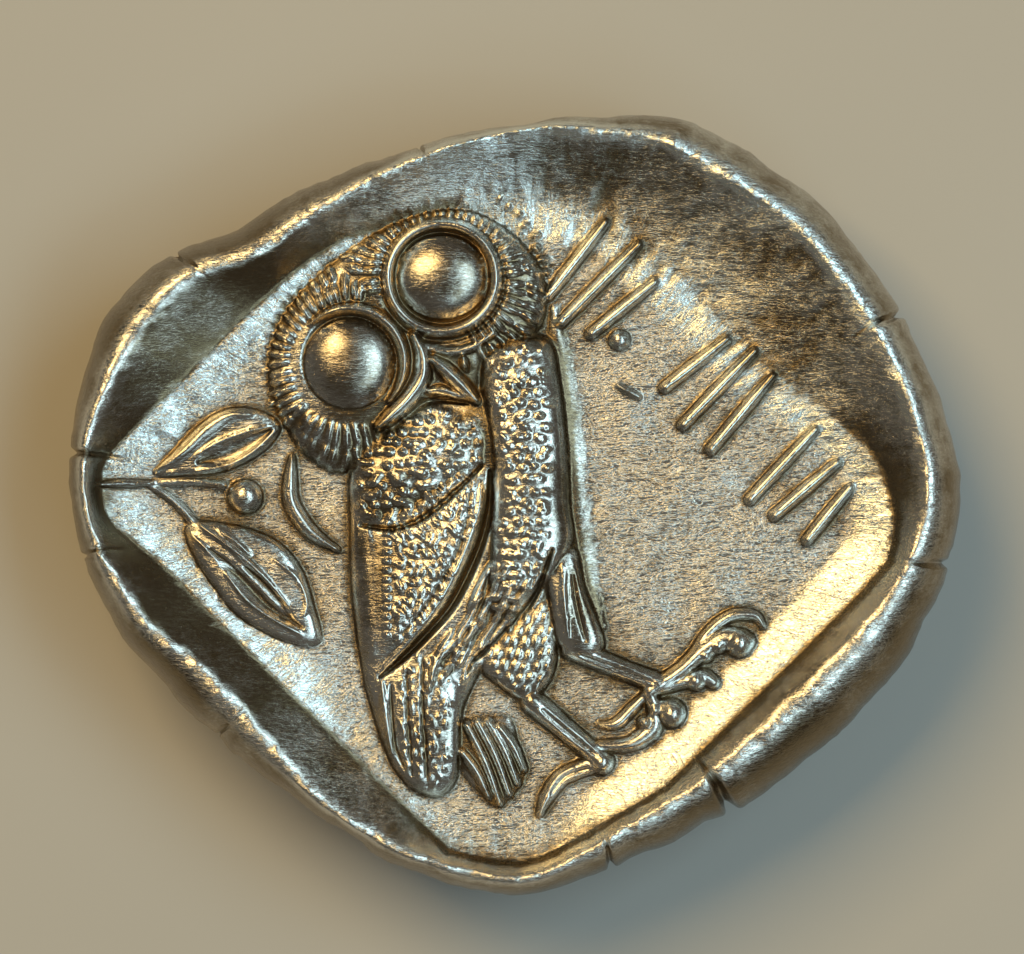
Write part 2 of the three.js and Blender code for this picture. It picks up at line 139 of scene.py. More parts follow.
# A broad ridge beside the left eye, an arc under the right one, and the beak's two halves.
FACE_LIMBS = [
    (0.9, [(-2.85, 4.85, 0.16), (-2.6, 4.25, 0.3), (-2.62, 3.65, 0.34), (-3.0, 3.05, 0.32),
           (-3.5, 2.55, 0.27), (-3.85, 2.25, 0.14)]),
    (0.74, [(-2.9, 4.75, 0.1), (-2.4, 4.47, 0.18), (-1.8, 4.36, 0.2), (-1.2, 4.5, 0.2),
            (-0.65, 4.85, 0.12)]),
    (1.0, [(-2.3, 4.15, 0.16), (-1.95, 3.85, 0.28), (-1.5, 3.42, 0.27), (-1.08, 2.98, 0.12)]),
    (0.72, [(-2.45, 3.25, 0.1), (-2.1, 3.3, 0.2), (-1.6, 3.14, 0.15), (-1.3, 3.05, 0.08)]),
]
BEAK_LINE = (-0.16, 0.07, [(-2.65, 2.98), (-2.0, 3.0), (-1.3, 2.93)])

# A cushion of each body part: its rise, the half width that gives it that rise, its outline, and its lean.
HEAD = (0.66, 1.7, [
    (-6.8, 2.9), (-6.95, 3.7), (-6.85, 4.6), (-6.55, 5.4), (-6.0, 6.1), (-5.3, 6.75), (-4.6, 7.3),
    (-3.9, 7.75), (-3.2, 8.05), (-2.4, 8.3), (-1.5, 8.35), (-0.7, 8.1), (0.05, 7.55), (0.6, 6.9),
    (0.85, 6.2), (0.85, 5.5), (0.6, 4.9), (-0.1, 4.45), (-0.8, 4.1), (-1.05, 3.1), (-2.4, 2.95),
    (-3.3, 2.4), (-3.9, 1.8), (-4.4, 1.1), (-5.05, 0.98), (-5.55, 1.2), (-6.05, 1.6), (-6.45, 2.2)],
    (0.0, 0.045))
BODY = (0.5, 1.8, [
    (-4.6, 1.2), (-3.8, 2.3), (-2.4, 3.0), (-1.0, 3.4), (-0.9, 4.4), (0.3, 4.9), (1.05, 4.7), (1.3, 3.4),
    (1.5, 1.5), (1.6, -0.4), (1.75, -1.3), (1.2, -2.3), (0.3, -3.4), (-0.8, -4.4), (-1.5, -5.8),
    (-1.7, -7.4), (-2.3, -8.1), (-3.2, -7.6), (-3.9, -6.2), (-4.3, -4.6), (-4.6, -2.5), (-4.65, -0.5)])
BREAST = (1.08, 1.25, [
    (-0.9, 4.3), (-0.3, 4.75), (0.4, 4.8), (1.0, 4.6), (1.25, 3.6), (1.4, 2.5), (1.5, 1.2), (1.55, 0),
    (1.65, -1.0), (1.3, -1.7), (0.8, -2.3), (0.3, -2.9), (-0.2, -3.3), (-0.8, -3.4), (-0.85, -2.4),
    (-0.75, -1.4), (-0.7, -0.4), (-0.65, 0.6), (-0.7, 1.6), (-0.8, 2.4), (-0.95, 3.2)], (-0.06, 0.0))
SHOULDER = (0.98, 1.9, [
    (-4.5, 1.3), (-4.0, 2.0), (-3.2, 2.6), (-2.3, 2.95), (-1.5, 2.8), (-1.0, 2.3), (-0.8, 1.7),
    (-0.95, 1.1), (-1.6, 0.5), (-2.3, 0.05), (-3.1, -0.35), (-3.8, -0.5), (-4.4, -0.4), (-4.65, 0.4)],
    (0.13, -0.10))
WING = (0.76, 1.2, [
    (-4.5, -0.4), (-3.6, 0.4), (-2.3, 0.9), (-1.0, 1.15), (-0.78, 0.6), (-0.85, -0.2), (-1.1, -1.0),
    (-1.45, -1.9), (-1.95, -2.8), (-2.5, -3.5), (-3.2, -4.2), (-3.9, -4.85), (-4.35, -4.2), (-4.5, -3),
    (-4.55, -1.5)], (0.16, -0.05))
RUMP = (0.58, 0.9, [
    (-1.2, -1.5), (0.9, -1.5), (0.75, -2.2), (0.2, -3.0), (-0.4, -3.6), (-1.1, -4.2), (-1.45, -5.0),
    (-1.6, -5.8), (-2.0, -4.6), (-2.5, -3.6), (-1.9, -2.7)], (0.06, -0.04))
TAIL = (0.56, 1.2, [
    (-4.25, -4.5), (-3.3, -4.1), (-2.5, -3.8), (-1.5, -4.8), (-1.52, -6.0), (-1.55, -7.0), (-1.7, -7.8),
    (-2.15, -8.2), (-2.8, -8.05), (-3.3, -7.6), (-3.7, -6.8), (-4.0, -5.8)], (0.10, 0.03))
TAIL_FAN = (0.2, 0.6, [
    (-1.7, -6.1), (-0.9, -5.95), (-0.15, -6.0), (0.1, -6.9), (0.25, -7.6), (-0.1, -8.2), (-0.5, -8.45),
    (-1.0, -8.05), (-1.6, -7.3)])
NEAR_THIGH = (0.66, 0.6, [
    (0.8, -1.3), (1.65, -1.1), (1.95, -2.2), (2.3, -3.1), (2.5, -4.0), (1.95, -4.35), (1.25, -3.95),
    (0.95, -2.8)])
FAR_THIGH = (0.44, 0.7, [
    (0.3, -2.8), (1.0, -2.3), (1.2, -3.9), (1.0, -4.9), (0.35, -5.5), (-0.4, -5.1), (-1.05, -4.4),
    (-0.4, -3.4)])
UPPER_LEAF = (0.4, 0.5, [
    (-10.3, 0.85), (-9.6, 1.65), (-8.8, 2.45), (-8.0, 2.8), (-7.2, 2.72), (-6.6, 2.3), (-6.8, 1.85),
    (-7.4, 1.35), (-8.2, 1.0), (-9.2, 0.85)])
LOWER_LEAF = (0.42, 0.7, [
    (-9.3, -0.45), (-8.3, -0.45), (-7.4, -0.65), (-6.6, -1.05), (-6.0, -1.8), (-5.7, -2.7),
    (-5.5, -3.85), (-6.3, -3.88), (-7.1, -3.55), (-7.9, -3.05), (-8.5, -2.3), (-9.1, -1.4)])

# Rows of pellets and small feathers: their spacing, how far out of line, and how far inside the edge.
BREAST_ROWS = {"pitch": 0.34, "row_pitch": 0.30, "jitter": 0.26, "margin": 0.16}
SHOULDER_ROWS = {"pitch": 0.33, "row_pitch": 0.29, "jitter": 0.26, "margin": 0.18}
WING_ROWS = {"pitch": 0.21, "row_pitch": 0.27, "jitter": 0.3, "margin": 0.3}
TAIL_ROWS = {"pitch": 0.24, "row_pitch": 0.3, "jitter": 0.3, "margin": 0.3}
THIGH_ROWS = {"pitch": 0.3, "row_pitch": 0.34, "jitter": 0.16, "margin": 0.15}
BREAST_PELLET = {
    "size": (0.11, 0.17), "length": (1, 1.25), "width": 0.85, "lean": (-0.6, 0.6), "rise": (0.07, 0.13),
}
SHOULDER_PELLET = {
    "size": (0.09, 0.15), "length": (1, 1.5), "width": 1, "lean": (-0.7, 0.3), "rise": (0.06, 0.13),
}
WING_FEATHER = {"lean": (60, 150), "long": (0.12, 0.2), "half": (0.045, 0.07), "rise": (0.05, 0.1)}
TAIL_FEATHER = {"lean": (50, 130), "long": (0.1, 0.18), "half": (0.05, 0.08), "rise": (0.03, 0.08)}

# Fine ridges and grooves: the rise, negative for a groove, the half width, and the line.
WING_LINES = [
    (0.04, 0.3, [(-4.15, -0.6), (-4.15, -2.2), (-4.0, -4.2)]),
    (0.1, 0.17, [(-0.95, 0.7), (-1.0, -0.1), (-1.3, -1.1), (-1.75, -2.1), (-2.3, -3.0), (-3.0, -3.8),
                 (-3.7, -4.5)]),
    (-0.1, 0.08, [(-1.25, 0.7), (-1.3, -0.1), (-1.55, -1.1), (-2.0, -2.0), (-2.5, -2.8), (-3.2, -3.6)]),
    (-0.32, 0.16, [(-0.7, 1.0), (-0.72, 0.0), (-0.95, -1.0), (-1.35, -1.95), (-1.85, -2.85),
                   (-2.5, -3.6), (-3.2, -4.3), (-3.8, -4.8)]),
]
SHOULDER_LINES = [
    (0.06, 0.16, [(-1.2, 2.5), (-1.0, 1.8), (-1.15, 1.2), (-1.8, 0.6), (-2.5, 0.2)]),
    (-0.2, 0.13, [(-0.94, 1.16), (-1.7, 0.4), (-2.6, -0.3), (-3.35, -0.6), (-4.35, -0.52)]),
]
SHOULDER_HEM = [(-1.75, 0.72), (-2.15, 0.36), (-2.6, 0.04), (-3.05, -0.2), (-3.5, -0.3), (-3.95, -0.26)]
FAN_FEATHERS = [
    ((-1.35, -6.15), (-0.42, -8.35)), ((-1.05, -6.05), (-0.15, -8.1)), ((-0.75, -6.05), (0.08, -7.8)),
    ((-0.45, -6.2), (0.25, -7.4)), ((-1.5, -6.9), (-0.75, -8.15)),
]
TAIL_LINES = [
    (-0.1, 0.09, [(-3.5, -5.0), (-3.45, -6.0), (-3.35, -6.8), (-3.1, -7.4)]),
    (-0.1, 0.09, [(-2.6, -4.3), (-2.6, -5.6), (-2.5, -7.0), (-2.45, -7.9)]),
    (-0.1, 0.09, [(-3.05, -4.6), (-3.0, -6.0), (-2.9, -7.6)]),
    (0.1, 0.13, [(-3.75, -4.9), (-3.65, -6.0), (-3.45, -7.0)]),
]
RUMP_FEATHERS = [
    [(-0.45, -1.9), (-0.85, -2.9), (-1.5, -4.0)], [(-0.1, -2.1), (-0.55, -3.2), (-1.15, -4.2), (-1.5, -5.0)],
    [(0.35, -2.2), (-0.1, -3.0), (-0.75, -3.9)], [(-0.95, -2.5), (-1.5, -3.5), (-2.1, -4.3)],
    [(-1.75, -3.5), (-2.15, -4.2), (-2.45, -5.2)], [(0.75, -1.8), (0.4, -2.6), (-0.1, -3.3)],
    [(-0.7, -1.6), (-1.05, -2.4), (-1.3, -2.9)],
]
RUMP_WISPS = 40
RUMP_EDGE = (-0.25, 0.14, [
    (1.05, -1.2), (0.68, -2.2), (0.05, -3.25), (-0.45, -3.8), (-1.1, -4.25), (-1.4, -4.8)])
THIGH_LINES = [
    (0.1, 0.1, [(1.35, -1.6), (1.38, -2.6), (1.5, -3.7)]),
    (-0.1, 0.08, [(1.6, -1.8), (1.75, -2.8), (2.0, -3.8)]),
]
SHANK_LINES = [
    (-0.14, 0.08, [(1.8, -4.15), (2.9, -4.55), (3.9, -4.95)]),
    (-0.14, 0.08, [(0.75, -5.7), (1.5, -6.35), (2.3, -7.0)]),
    (-0.14, 0.08, [(2.1, -7.35), (1.4, -7.6), (1.0, -8.1)]),
]
UPPER_LEAF_LINES = [
    (0.12, 0.24, [(-10.1, 1.0), (-9.3, 1.6), (-8.6, 2.25), (-8.0, 2.6), (-7.4, 2.6)]),
    (0.08, 0.08, [(-9.0, 1.45), (-8.4, 1.8), (-7.6, 2.1), (-6.75, 2.3)]),
    (-0.14, 0.3, [(-8.9, 1.25), (-8.2, 1.45), (-7.5, 1.8), (-6.9, 2.15)]),
    (0.08, 0.08, [(-9.9, 0.95), (-8.4, 1.08), (-7.6, 1.4), (-6.75, 2.15)]),
]
LOWER_LEAF_LINES = [
    (0.12, 0.1, [(-8.9, -0.5), (-8.0, -1.14), (-7.2, -1.84), (-6.4, -2.75)]),
    (0.10, 0.09, [(-8.3, -0.7), (-7.9, -0.95), (-7.45, -1.35)]),
    (0.08, 0.09, [(-9.15, -0.75), (-8.43, -1.4), (-7.9, -1.8)]),
    (0.10, 0.09, [(-8.15, -1.85), (-7.58, -2.59), (-7.04, -3.02), (-6.0, -3.6)]),
    (0.08, 0.08, [(-6.75, -1.5), (-6.1, -2.05), (-5.85, -2.7), (-5.95, -3.1)]),
    (-0.14, 0.2, [(-8.6, -1.2), (-7.7, -2.0), (-6.9, -2.8), (-6.0, -3.4)]),
    (-0.10, 0.16, [(-7.6, -1.7), (-6.9, -2.35), (-6.3, -3.1)]),
]
STALK_END = (0.16, 0.14, [(-11.8, 0.62), (-11.0, 0.66), (-10.2, 0.66)])
# The ground rises a little towards the breast.
BREAST_BANK = (0.1, 0.5, [
    (1.1, 5.6), (1.25, 4.2), (1.45, 2.0), (1.65, 0), (1.8, -1.2), (2.0, -2.1), (2.5, -3.4)])

# Limbs follow a line of (x, y, half width), and rise to the given height.
LEGS = [
    (0.42, [(1.6, -4.0, 0.34), (2.8, -4.5, 0.29), (4.1, -5.0, 0.3)]),
    (0.44, [(0.5, -5.5, 0.36), (1.5, -6.35, 0.31), (2.45, -7.15, 0.32)]),
    (0.40, [(3.8, -5.2, 0.24), (4.7, -4.6, 0.24), (5.4, -4.0, 0.3), (6.0, -3.72, 0.36), (6.5, -3.8, 0.3)]),
    (0.26, [(4.95, -4.2, 0.12), (5.55, -3.45, 0.17), (6.2, -3.05, 0.18), (6.8, -3.1, 0.15),
            (7.0, -3.35, 0.08)]),
    (0.36, [(3.9, -5.15, 0.24), (4.6, -4.98, 0.2), (5.3, -4.8, 0.26), (5.6, -4.95, 0.2)]),
    (0.34, [(3.8, -5.2, 0.2), (3.95, -5.6, 0.26), (4.35, -5.8, 0.44)]),
    (0.24, [(3.75, -5.25, 0.14), (3.3, -5.7, 0.18), (2.85, -6.12, 0.17), (2.35, -6.15, 0.06)]),
    (0.34, [(2.3, -6.75, 0.18), (3.2, -6.7, 0.22), (3.6, -6.5, 0.28), (3.9, -6.2, 0.3), (3.92, -5.8, 0.2)]),
    (0.34, [(2.4, -7.2, 0.3), (1.8, -7.4, 0.26), (1.3, -7.65, 0.24), (0.95, -8.1, 0.22), (0.7, -8.65, 0.1)]),
]
KNUCKLES = [
    (5.38, -4.2, 0.22), (5.72, -3.92, 0.24), (6.32, -3.84, 0.42), (5.1, -4.9, 0.3), (3.94, -5.73, 0.2),
    (4.42, -5.82, 0.42), (3.66, -6.08, 0.22), (2.45, -7.2, 0.36),
]

STALKS = [
    (0.22, [(-11.6, 0.65, 0.15), (-10.3, 0.67, 0.14), (-9.2, 0.72, 0.12), (-8.2, 0.62, 0.09)]),
    (0.24, [(-10.3, 0.6, 0.1), (-9.8, 0.3, 0.13), (-9.35, -0.1, 0.15), (-8.95, -0.6, 0.16)]),
]
BERRY = {"x": -7.61, "y": 0.28, "long": 0.5, "short": 0.5, "rise": 0.46}
CRESCENT = (0.34, [
    (-6.28, 1.4, 0.08), (-6.33, 0.8, 0.19), (-6.32, 0.2, 0.23), (-6.05, -0.35, 0.24), (-5.65, -0.8, 0.2),
    (-5.0, -1.2, 0.07)])

# Places on the owl that are darkened, by toning and by painted shade on the shadow sides of the forms: the
# middle, the reach in x and y, and how dark.
TONED_AND_SHADED = [
    (-4.64, 4.05, 1.15, 1.15, 0.42), (-2.05, 6.45, 1.2, 1.05, 0.42), (-4.9, 1.9, 2.0, 1.0, 0.6),
    (-3.8, 0.5, 1.3, 0.8, 0.4), (-4.2, -1.9, 0.5, 2.2, 0.32), (1.35, 2.0, 0.35, 3.4, 0.45),
    (-2.1, -6.9, 0.9, 1.4, 0.3), (1.9, -2.8, 0.5, 1.4, 0.6), (0.4, 6.2, 0.6, 1.6, 0.5),
    (-0.3, 4.8, 1.6, 0.4, 0.5), (0.2, -4.6, 0.9, 1.2, 0.45),
]

# Rows of short strokes where a legend would be: a row's middle, its strokes' lengths and leans.
STROKE_ROWS = [
    (2.4, 6.3, (2.6, 3.1, 2.3), (52, 45, 39)),
    (5.75, 3.35, (2.2, 2.9, 2.7), (38, 46, 50)),
    (8.2, 0.5, (2.7, 2.3, 1.9), (47, 40, 51)),
]
STROKE = {"spacing": 0.95, "half": 0.18, "rise": 0.25, "row_turn": -47}
SCRATCH = (0.16, [(2.9, 3.42, 0.07), (3.2, 3.25, 0.1), (3.5, 3.1, 0.07)])
PELLET = {"x": 2.95, "y": 4.7, "long": 0.3, "short": 0.28, "rise": 0.26}

# ---- Driving dimensions: the head side, drawn as seen with the coin turned over ----

BOWL = {"x": -0.7, "y": 1.9, "long": 5.5, "short": 5.1, "turn": 20}
FACE = (1.04, 1.9, [
    (3.6, 3.4), (4.3, 2.5), (4.6, 1.3), (5.1, 0.2), (5.6, -0.6), (5.05, -1.0), (5.15, -1.5), (4.9, -1.85),
    (5.05, -2.3), (4.6, -2.75), (4.7, -3.5), (4.1, -4.2), (2.6, -4.4), (0.8, -4.4), (-1.6, -3.8),
    (-2.4, -1.5), (-1.0, 1.5), (1.5, 3.2)])
NECK = (0.95, 1.6, [
    (1.8, -3.8), (1.6, -5.4), (1.8, -6.6), (2.6, -7.8), (0.4, -8.4), (-2.6, -8.0), (-3.3, -6.4),
    (-3.2, -4.4), (-1.6, -2.8)])
NECK_GUARD = (0.98, 1.2, [
    (-2.6, -0.6), (-2.6, -2.4), (-3.4, -3.7), (-5.2, -4.3), (-6.2, -4.0), (-5.9, -2.2), (-5.4, -0.2),
    (-4.2, 0.6)])
CREST = {"x": -0.8, "y": 1.6, "radius": 7.0, "half": 0.8, "from": 38, "to": 205}
BRIM = [(4.5, 2.7, 0.28), (1.4, 1.5, 0.32), (-1.4, -1.1, 0.32), (-3.0, -3.3, 0.3), (-5.9, -4.0, 0.24)]
SCROLL_LINES = [
    (0.14, 0.15, [(-1.6, 1.2), (-2.8, 2.2), (-3.6, 3.4), (-3.0, 4.2), (-2.3, 3.7), (-2.6, 3.1)]),
    (0.12, 0.13, [(-2.8, 2.2), (-4.2, 2.3), (-4.8, 3.1), (-4.3, 3.6), (-3.95, 3.2)]),
]
HELMET_LEAVES = [(2.1, 3.5, 62), (0.9, 4.25, 75), (-0.5, 4.75, 90)]  # x, y and turn
CHEEK = {"x": 1.7, "y": -1.8, "long": 2.4, "short": 2.3, "rise": 1.1, "base": 0.85}

# ---- Grids ----

REACH_X = 13.2
REACH_Y = 11.7
PITCH = 0.02
LATTICE = 1024  # a power of two
EDGE_STEP = 4  # the edge's vertices are this many lattice steps apart
FULLNESS = 1.4  # how soon a cushion rises to its height
EDGE_START = 0.85  # share of the lattice's reach that the face takes; the rounded edge takes the rest
UNEVEN = 0.012  # height of the struck ground's unevenness and of its flow lines

# ---- The light ----

LIGHT_DISTANCE = 0.30  # metres from the coin to each softbox
WARM = (1.0, 0.70, 0.30)
COOL = (0.62, 0.88, 1.0)
FLOOR_HALF = 1.5  # metres


# ---- Lines and distances ----


def curve(points, closed=False, per_span=10):
    """A smooth line through the points (a centripetal Catmull-Rom spline)."""
    p = np.array(points, float)
    if closed:
        p = np.vstack([p[-1], p, p[:2]])
    else:
        p = np.vstack([2 * p[0] - p[1], p, 2 * p[-1] - p[-2]])
    t = np.linspace(0, 1, per_span, endpoint=False)[:, None]
    spans = []
    for p0, p1, p2, p3 in zip(p, p[1:], p[2:], p[3:]):
        d0, d1, d2 = (math.sqrt(math.dist(a, b)) for a, b in ((p0, p1), (p1, p2), (p2, p3)))
        start = ((p1 - p0) / d0 - (p2 - p0) / (d0 + d1) + (p2 - p1) / d1) * d1
        end = ((p2 - p1) / d1 - (p3 - p1) / (d1 + d2) + (p3 - p2) / d2) * d1
        spans.append(p1 + start * t + (3 * (p2 - p1) - 2 * start - end) * t**2
                     + (2 * (p1 - p2) + start + end) * t**3)
    return np.vstack(spans) if closed else np.vstack([*spans, p[-2:-1]])


def direction(degrees):
    return math.cos(math.radians(degrees)), math.sin(math.radians(degrees))


def arc(x, y, radius, start, stop, steps=24):
    """Part of a circle, as a list of points."""
    turns = np.radians(np.linspace(start, stop, steps + 1))
    return np.column_stack([x + radius * np.cos(turns), y + radius * np.sin(turns)])


def ellipse(x, y, long, short, turn=0, steps=72):
    """A closed ellipse, as a list of points."""
    t = np.linspace(0, 2 * math.pi, steps, endpoint=False)
    cos, sin = direction(turn)
    u, v = long * np.cos(t), short * np.sin(t)
    return np.column_stack([x + u * cos - v * sin, y + u * sin + v * cos])


def depth_inside(x, y, line):
    """The distance inside a closed line, negative outside it."""
    inside = np.zeros(x.shape, bool)
    nearest = np.full(x.shape, 1e9)
    for (ax, ay), (bx, by) in zip(line, np.roll(line, -1, axis=0)):
        dx, dy = bx - ax, by - ay
        t = np.clip(((x - ax) * dx + (y - ay) * dy) / (dx * dx + dy * dy + 1e-12), 0, 1)
        np.minimum(nearest, (x - ax - t * dx) ** 2 + (y - ay - t * dy) ** 2, out=nearest)
        if ay != by:
            inside ^= ((ay > y) != (by > y)) & (x < dx * (y - ay) / dy + ax)
    return np.where(inside, 1, -1) * np.sqrt(nearest)


def share_across(x, y, line):
    """The distance from an open line, as a share of the line's half width where it is nearest."""
    best = np.full(x.shape, 1e9)
    for (ax, ay, aw), (bx, by, bw) in zip(line, line[1:]):
        dx, dy = bx - ax, by - ay
        t = np.clip(((x - ax) * dx + (y - ay) * dy) / (dx * dx + dy * dy + 1e-12), 0, 1)
        away = np.hypot(x - ax - t * dx, y - ay - t * dy) / (aw + (bw - aw) * t)
        np.minimum(best, away, out=best)
    return best


def ease(t):
    t = np.clip(t, 0, 1)
    return t * t * (3 - 2 * t)


def blurred(values, reach):
    """Values smoothed over about `reach` cells, without wrapping at the sides."""
    pad = int(4 * reach) + 2
    wide = np.pad(values, pad, mode="edge")
    fx = np.fft.fftfreq(wide.shape[0])[:, None]
    fy = np.fft.rfftfreq(wide.shape[1])[None, :]
    keep = np.exp(-2 * (math.pi * reach) ** 2 * (fx**2 + fy**2))
    smooth = np.fft.irfft2(np.fft.rfft2(wide) * keep, s=wide.shape)
    return smooth[pad:-pad, pad:-pad]


def grain(rng, shape, reach_x, reach_y):
    """Smooth random values of spread 1 that repeat at the sides."""
    fx = np.fft.fftfreq(shape[0])[:, None]
    fy = np.fft.rfftfreq(shape[1])[None, :]
    keep = np.exp(-2 * math.pi**2 * ((reach_x * fx) ** 2 + (reach_y * fy) ** 2))
    values = np.fft.irfft2(np.fft.rfft2(rng.standard_normal(shape)) * keep, s=shape)
    return values / values.std()


def film(mask, cell):
    """A soap film over the mask, blown up from below: steep at the sides and round on top."""
    if min(mask.shape) > 48:
        coarse = film(mask[::2, ::2], cell * 2)
        rounds = 40
        height = np.repeat(np.repeat(coarse, 2, axis=0), 2, axis=1)[: mask.shape[0], : mask.shape[1]]
    else:
        rounds = 1200
        height = np.zeros(mask.shape)
    lift = cell * cell / 4
    inner = mask[1:-1, 1:-1]
    for _ in range(rounds):
        around = height[2:, 1:-1] + height[:-2, 1:-1] + height[1:-1, 2:] + height[1:-1, :-2]
        height[1:-1, 1:-1] = inner * (around / 4 + lift)
    return height


# ---- Relief ----


class Relief:
    """The heights of one face on a fine grid."""

    def __init__(self):
        xs = np.arange(-REACH_X, REACH_X + PITCH / 2, PITCH)
        ys = np.arange(-REACH_Y, REACH_Y + PITCH / 2, PITCH)
        self.x, self.y = np.meshgrid(xs, ys, indexing="ij")
        self.z = np.zeros_like(self.x)

    def near(self, points, margin):
        """The part of the grid round the points."""
        low = np.min(points, axis=0)[:2] - margin
        high = np.max(points, axis=0)[:2] + margin
        i0, j0 = (max(int((low[k] + (REACH_X, REACH_Y)[k]) / PITCH), 0) for k in (0, 1))
        i1, j1 = (max(int((high[k] + (REACH_X, REACH_Y)[k]) / PITCH) + 2, 0) for k in (0, 1))
        return slice(i0, i1), slice(j0, j1)

    def beside(self, path, margin):
        """The part of the grid along a line of (x, y, half width), and how far across the line it lies."""
        part = self.near(path, margin)
        return part, share_across(self.x[part], self.y[part], path)

    def raise_to(self, part, height, blend=0.04):
        """Lifts the relief to a height, with a small fillet where the two meet."""
        old = self.z[part]
        fillet = np.clip(blend - np.abs(old - height), 0, None) ** 2 / (4 * blend)
        self.z[part] = np.maximum(old, height) + fillet * (height > 0)

    def cushion(self, rise, width, edge, lean=(0, 0)):
        """A blown-up form over the outline, which leans: it climbs by `lean` per millimetre in x and y."""
        line = curve(edge, closed=True)
        part = self.near(line, 0.1)
        depth = depth_inside(self.x[part], self.y[part], line)
        round_height = np.sqrt(2 * film((depth > 0).astype(float), PITCH)) / width
        middle = (line.min(0) + line.max(0)) / 2
        top = rise + (self.x[part] - middle[0]) * lean[0] + (self.y[part] - middle[1]) * lean[1]
        self.raise_to(part, np.where(depth > 0, top * np.tanh(FULLNESS * round_height), -1), 0.05)

    def dome(self, x, y, long, short, rise, base=0.0):
        """A flattened ball, its foot at the height of the base."""
        part, away = self._oval(x, y, long, short, 0)
        ball = np.sqrt(np.clip(1 - away**2, 0, 1))
        self.raise_to(part, np.where(away < 1, base + (rise - base) * ball, -1))

    def _oval(self, x, y, long, short, turn):
        reach = max(long, short)
        part = self.near([(x - reach, y - reach), (x + reach, y + reach)], 0.04)
        cos, sin = math.cos(turn), math.sin(turn)
        dx, dy = self.x[part] - x, self.y[part] - y
        return part, np.hypot((dx * cos + dy * sin) / long, (dy * cos - dx * sin) / short)

    def bead(self, x, y, long, short, turn, rise):
        """Adds a small smooth mound on whatever is there. A negative rise dents it."""
        part, away = self._oval(x, y, long, short, turn)
        self.z[part] += rise * np.clip(1 - away**2, 0, 1) ** 0.8

    def limb(self, rise, line, per_span=10):
        """A round-backed form along a line of (x, y, half width)."""
        path = curve(line, per_span=per_span)
        part, share = self.beside(path, path[:, 2].max())
        self.raise_to(part, np.where(share < 1, rise * np.sqrt(np.clip(1 - share**2, 0, 1)), -1))

    def welt(self, rise, half, points, taper=True):
        """Adds a narrow rounded ridge along a line, or a groove where the rise is negative."""
        path = curve(points)
        widths = np.ones(len(path))
        if taper:
            widths = np.sqrt(np.clip(np.sin(math.pi * np.linspace(0, 1, len(path))), 0.06, 1))
        path = np.column_stack([path[:, :2], half * widths])
        part, share = self.beside(path, half)
        self.z[part] += rise * np.clip(1 - share**2, 0, 1) ** 1.2

    def welts(self, lines):
        for line in lines:
            self.welt(*line)

    def inside(self, edge):
        """A function that tells whether a point lies inside the outline."""
        line = curve(edge, closed=True)

        def test(x, y):
            return depth_inside(np.array([x]), np.array([y]), line)[0] > 0

        return test

    def wear(self, reach):
        self.z = blurred(self.z, reach / PITCH)


def hollows(z):
    """How deep each place lies below what surrounds it, from 0 to 1."""
    near = blurred(z, 0.09 / PITCH) - z
    wide = blurred(z, 0.4 / PITCH) - z
    return np.clip(0.5 + near * 8.5 + wide * 1.4, 0, 1)


def scatter(rng, edge, pitch, row_pitch, jitter, margin):
    """Points in staggered rows inside an outline, a little out of line."""
    line = curve(edge, closed=True)
    low, high = line.min(0), line.max(0)
    xs = np.arange(low[0], high[0] + pitch, pitch)
    ys = np.arange(low[1], high[1] + row_pitch, row_pitch)
    x, y = np.meshgrid(xs, ys, indexing="ij")
    x = x + np.where(np.arange(len(ys)) % 2, pitch / 2, 0)[None, :]
    x = x + rng.uniform(-jitter, jitter, x.shape) * pitch
    y = y + rng.uniform(-jitter, jitter, y.shape) * row_pitch
    keep = depth_inside(x, y, line) > margin
    return list(zip(x[keep], y[keep]))


# ---- The flan ----


def all_round(angle, turns, values):
    """A value at each angle, from values that are given all round."""
    return np.interp(angle, turns, values, period=2 * math.pi)


def ring_grain(rng, waves):
    """Random unevenness round the flan."""
    return sum(height * grain(rng, (RING, 2), length, 0)[:, 0] for height, length in waves)


class Flan:
    """Where the flan's edge and lip lie, all round."""

    def __init__(self, rng):
        line = curve(FLAN, closed=True, per_span=24)
        angle = np.arctan2(line[:, 1], line[:, 0])
        order = np.argsort(angle)
        self.angles = angle[order]
        self.reaches = np.hypot(line[:, 0], line[:, 1])[order]
        turns = np.radians(np.arange(0, 360, 30))
        insets = curve([*zip(turns, LIP_INSET), (2 * math.pi, LIP_INSET[0])])
        self.inset_turns, self.insets = insets[:, 0], insets[:, 1]
        self.turns = np.linspace(-math.pi, math.pi, RING, endpoint=False)
        self.roughness = ring_grain(rng, EDGE_WAVES)
        self.lip_roughness = ring_grain(rng, LIP_WAVES)

    def edge(self, angle):
        """How far out the edge lies at each angle, with a notch at each split."""
        reach = all_round(angle, self.angles, self.reaches)
        reach = reach + all_round(angle, self.turns, self.roughness) - EDGE_INSET
        for at, _inward, half, depth in SPLITS:
            off = (angle - math.radians(at) + math.pi) % (2 * math.pi) - math.pi
            reach = reach - NOTCH * depth * np.exp(-((off * FLAN_REACH / half) ** 2))
        return reach

    def lip(self, angle):
        """How far out the crest of the lip lies at each angle."""
        inset = np.interp(angle % (2 * math.pi), self.inset_turns, self.insets)
        reach = all_round(angle, self.angles, self.reaches)
        return reach - inset + all_round(angle, self.turns, self.lip_roughness)


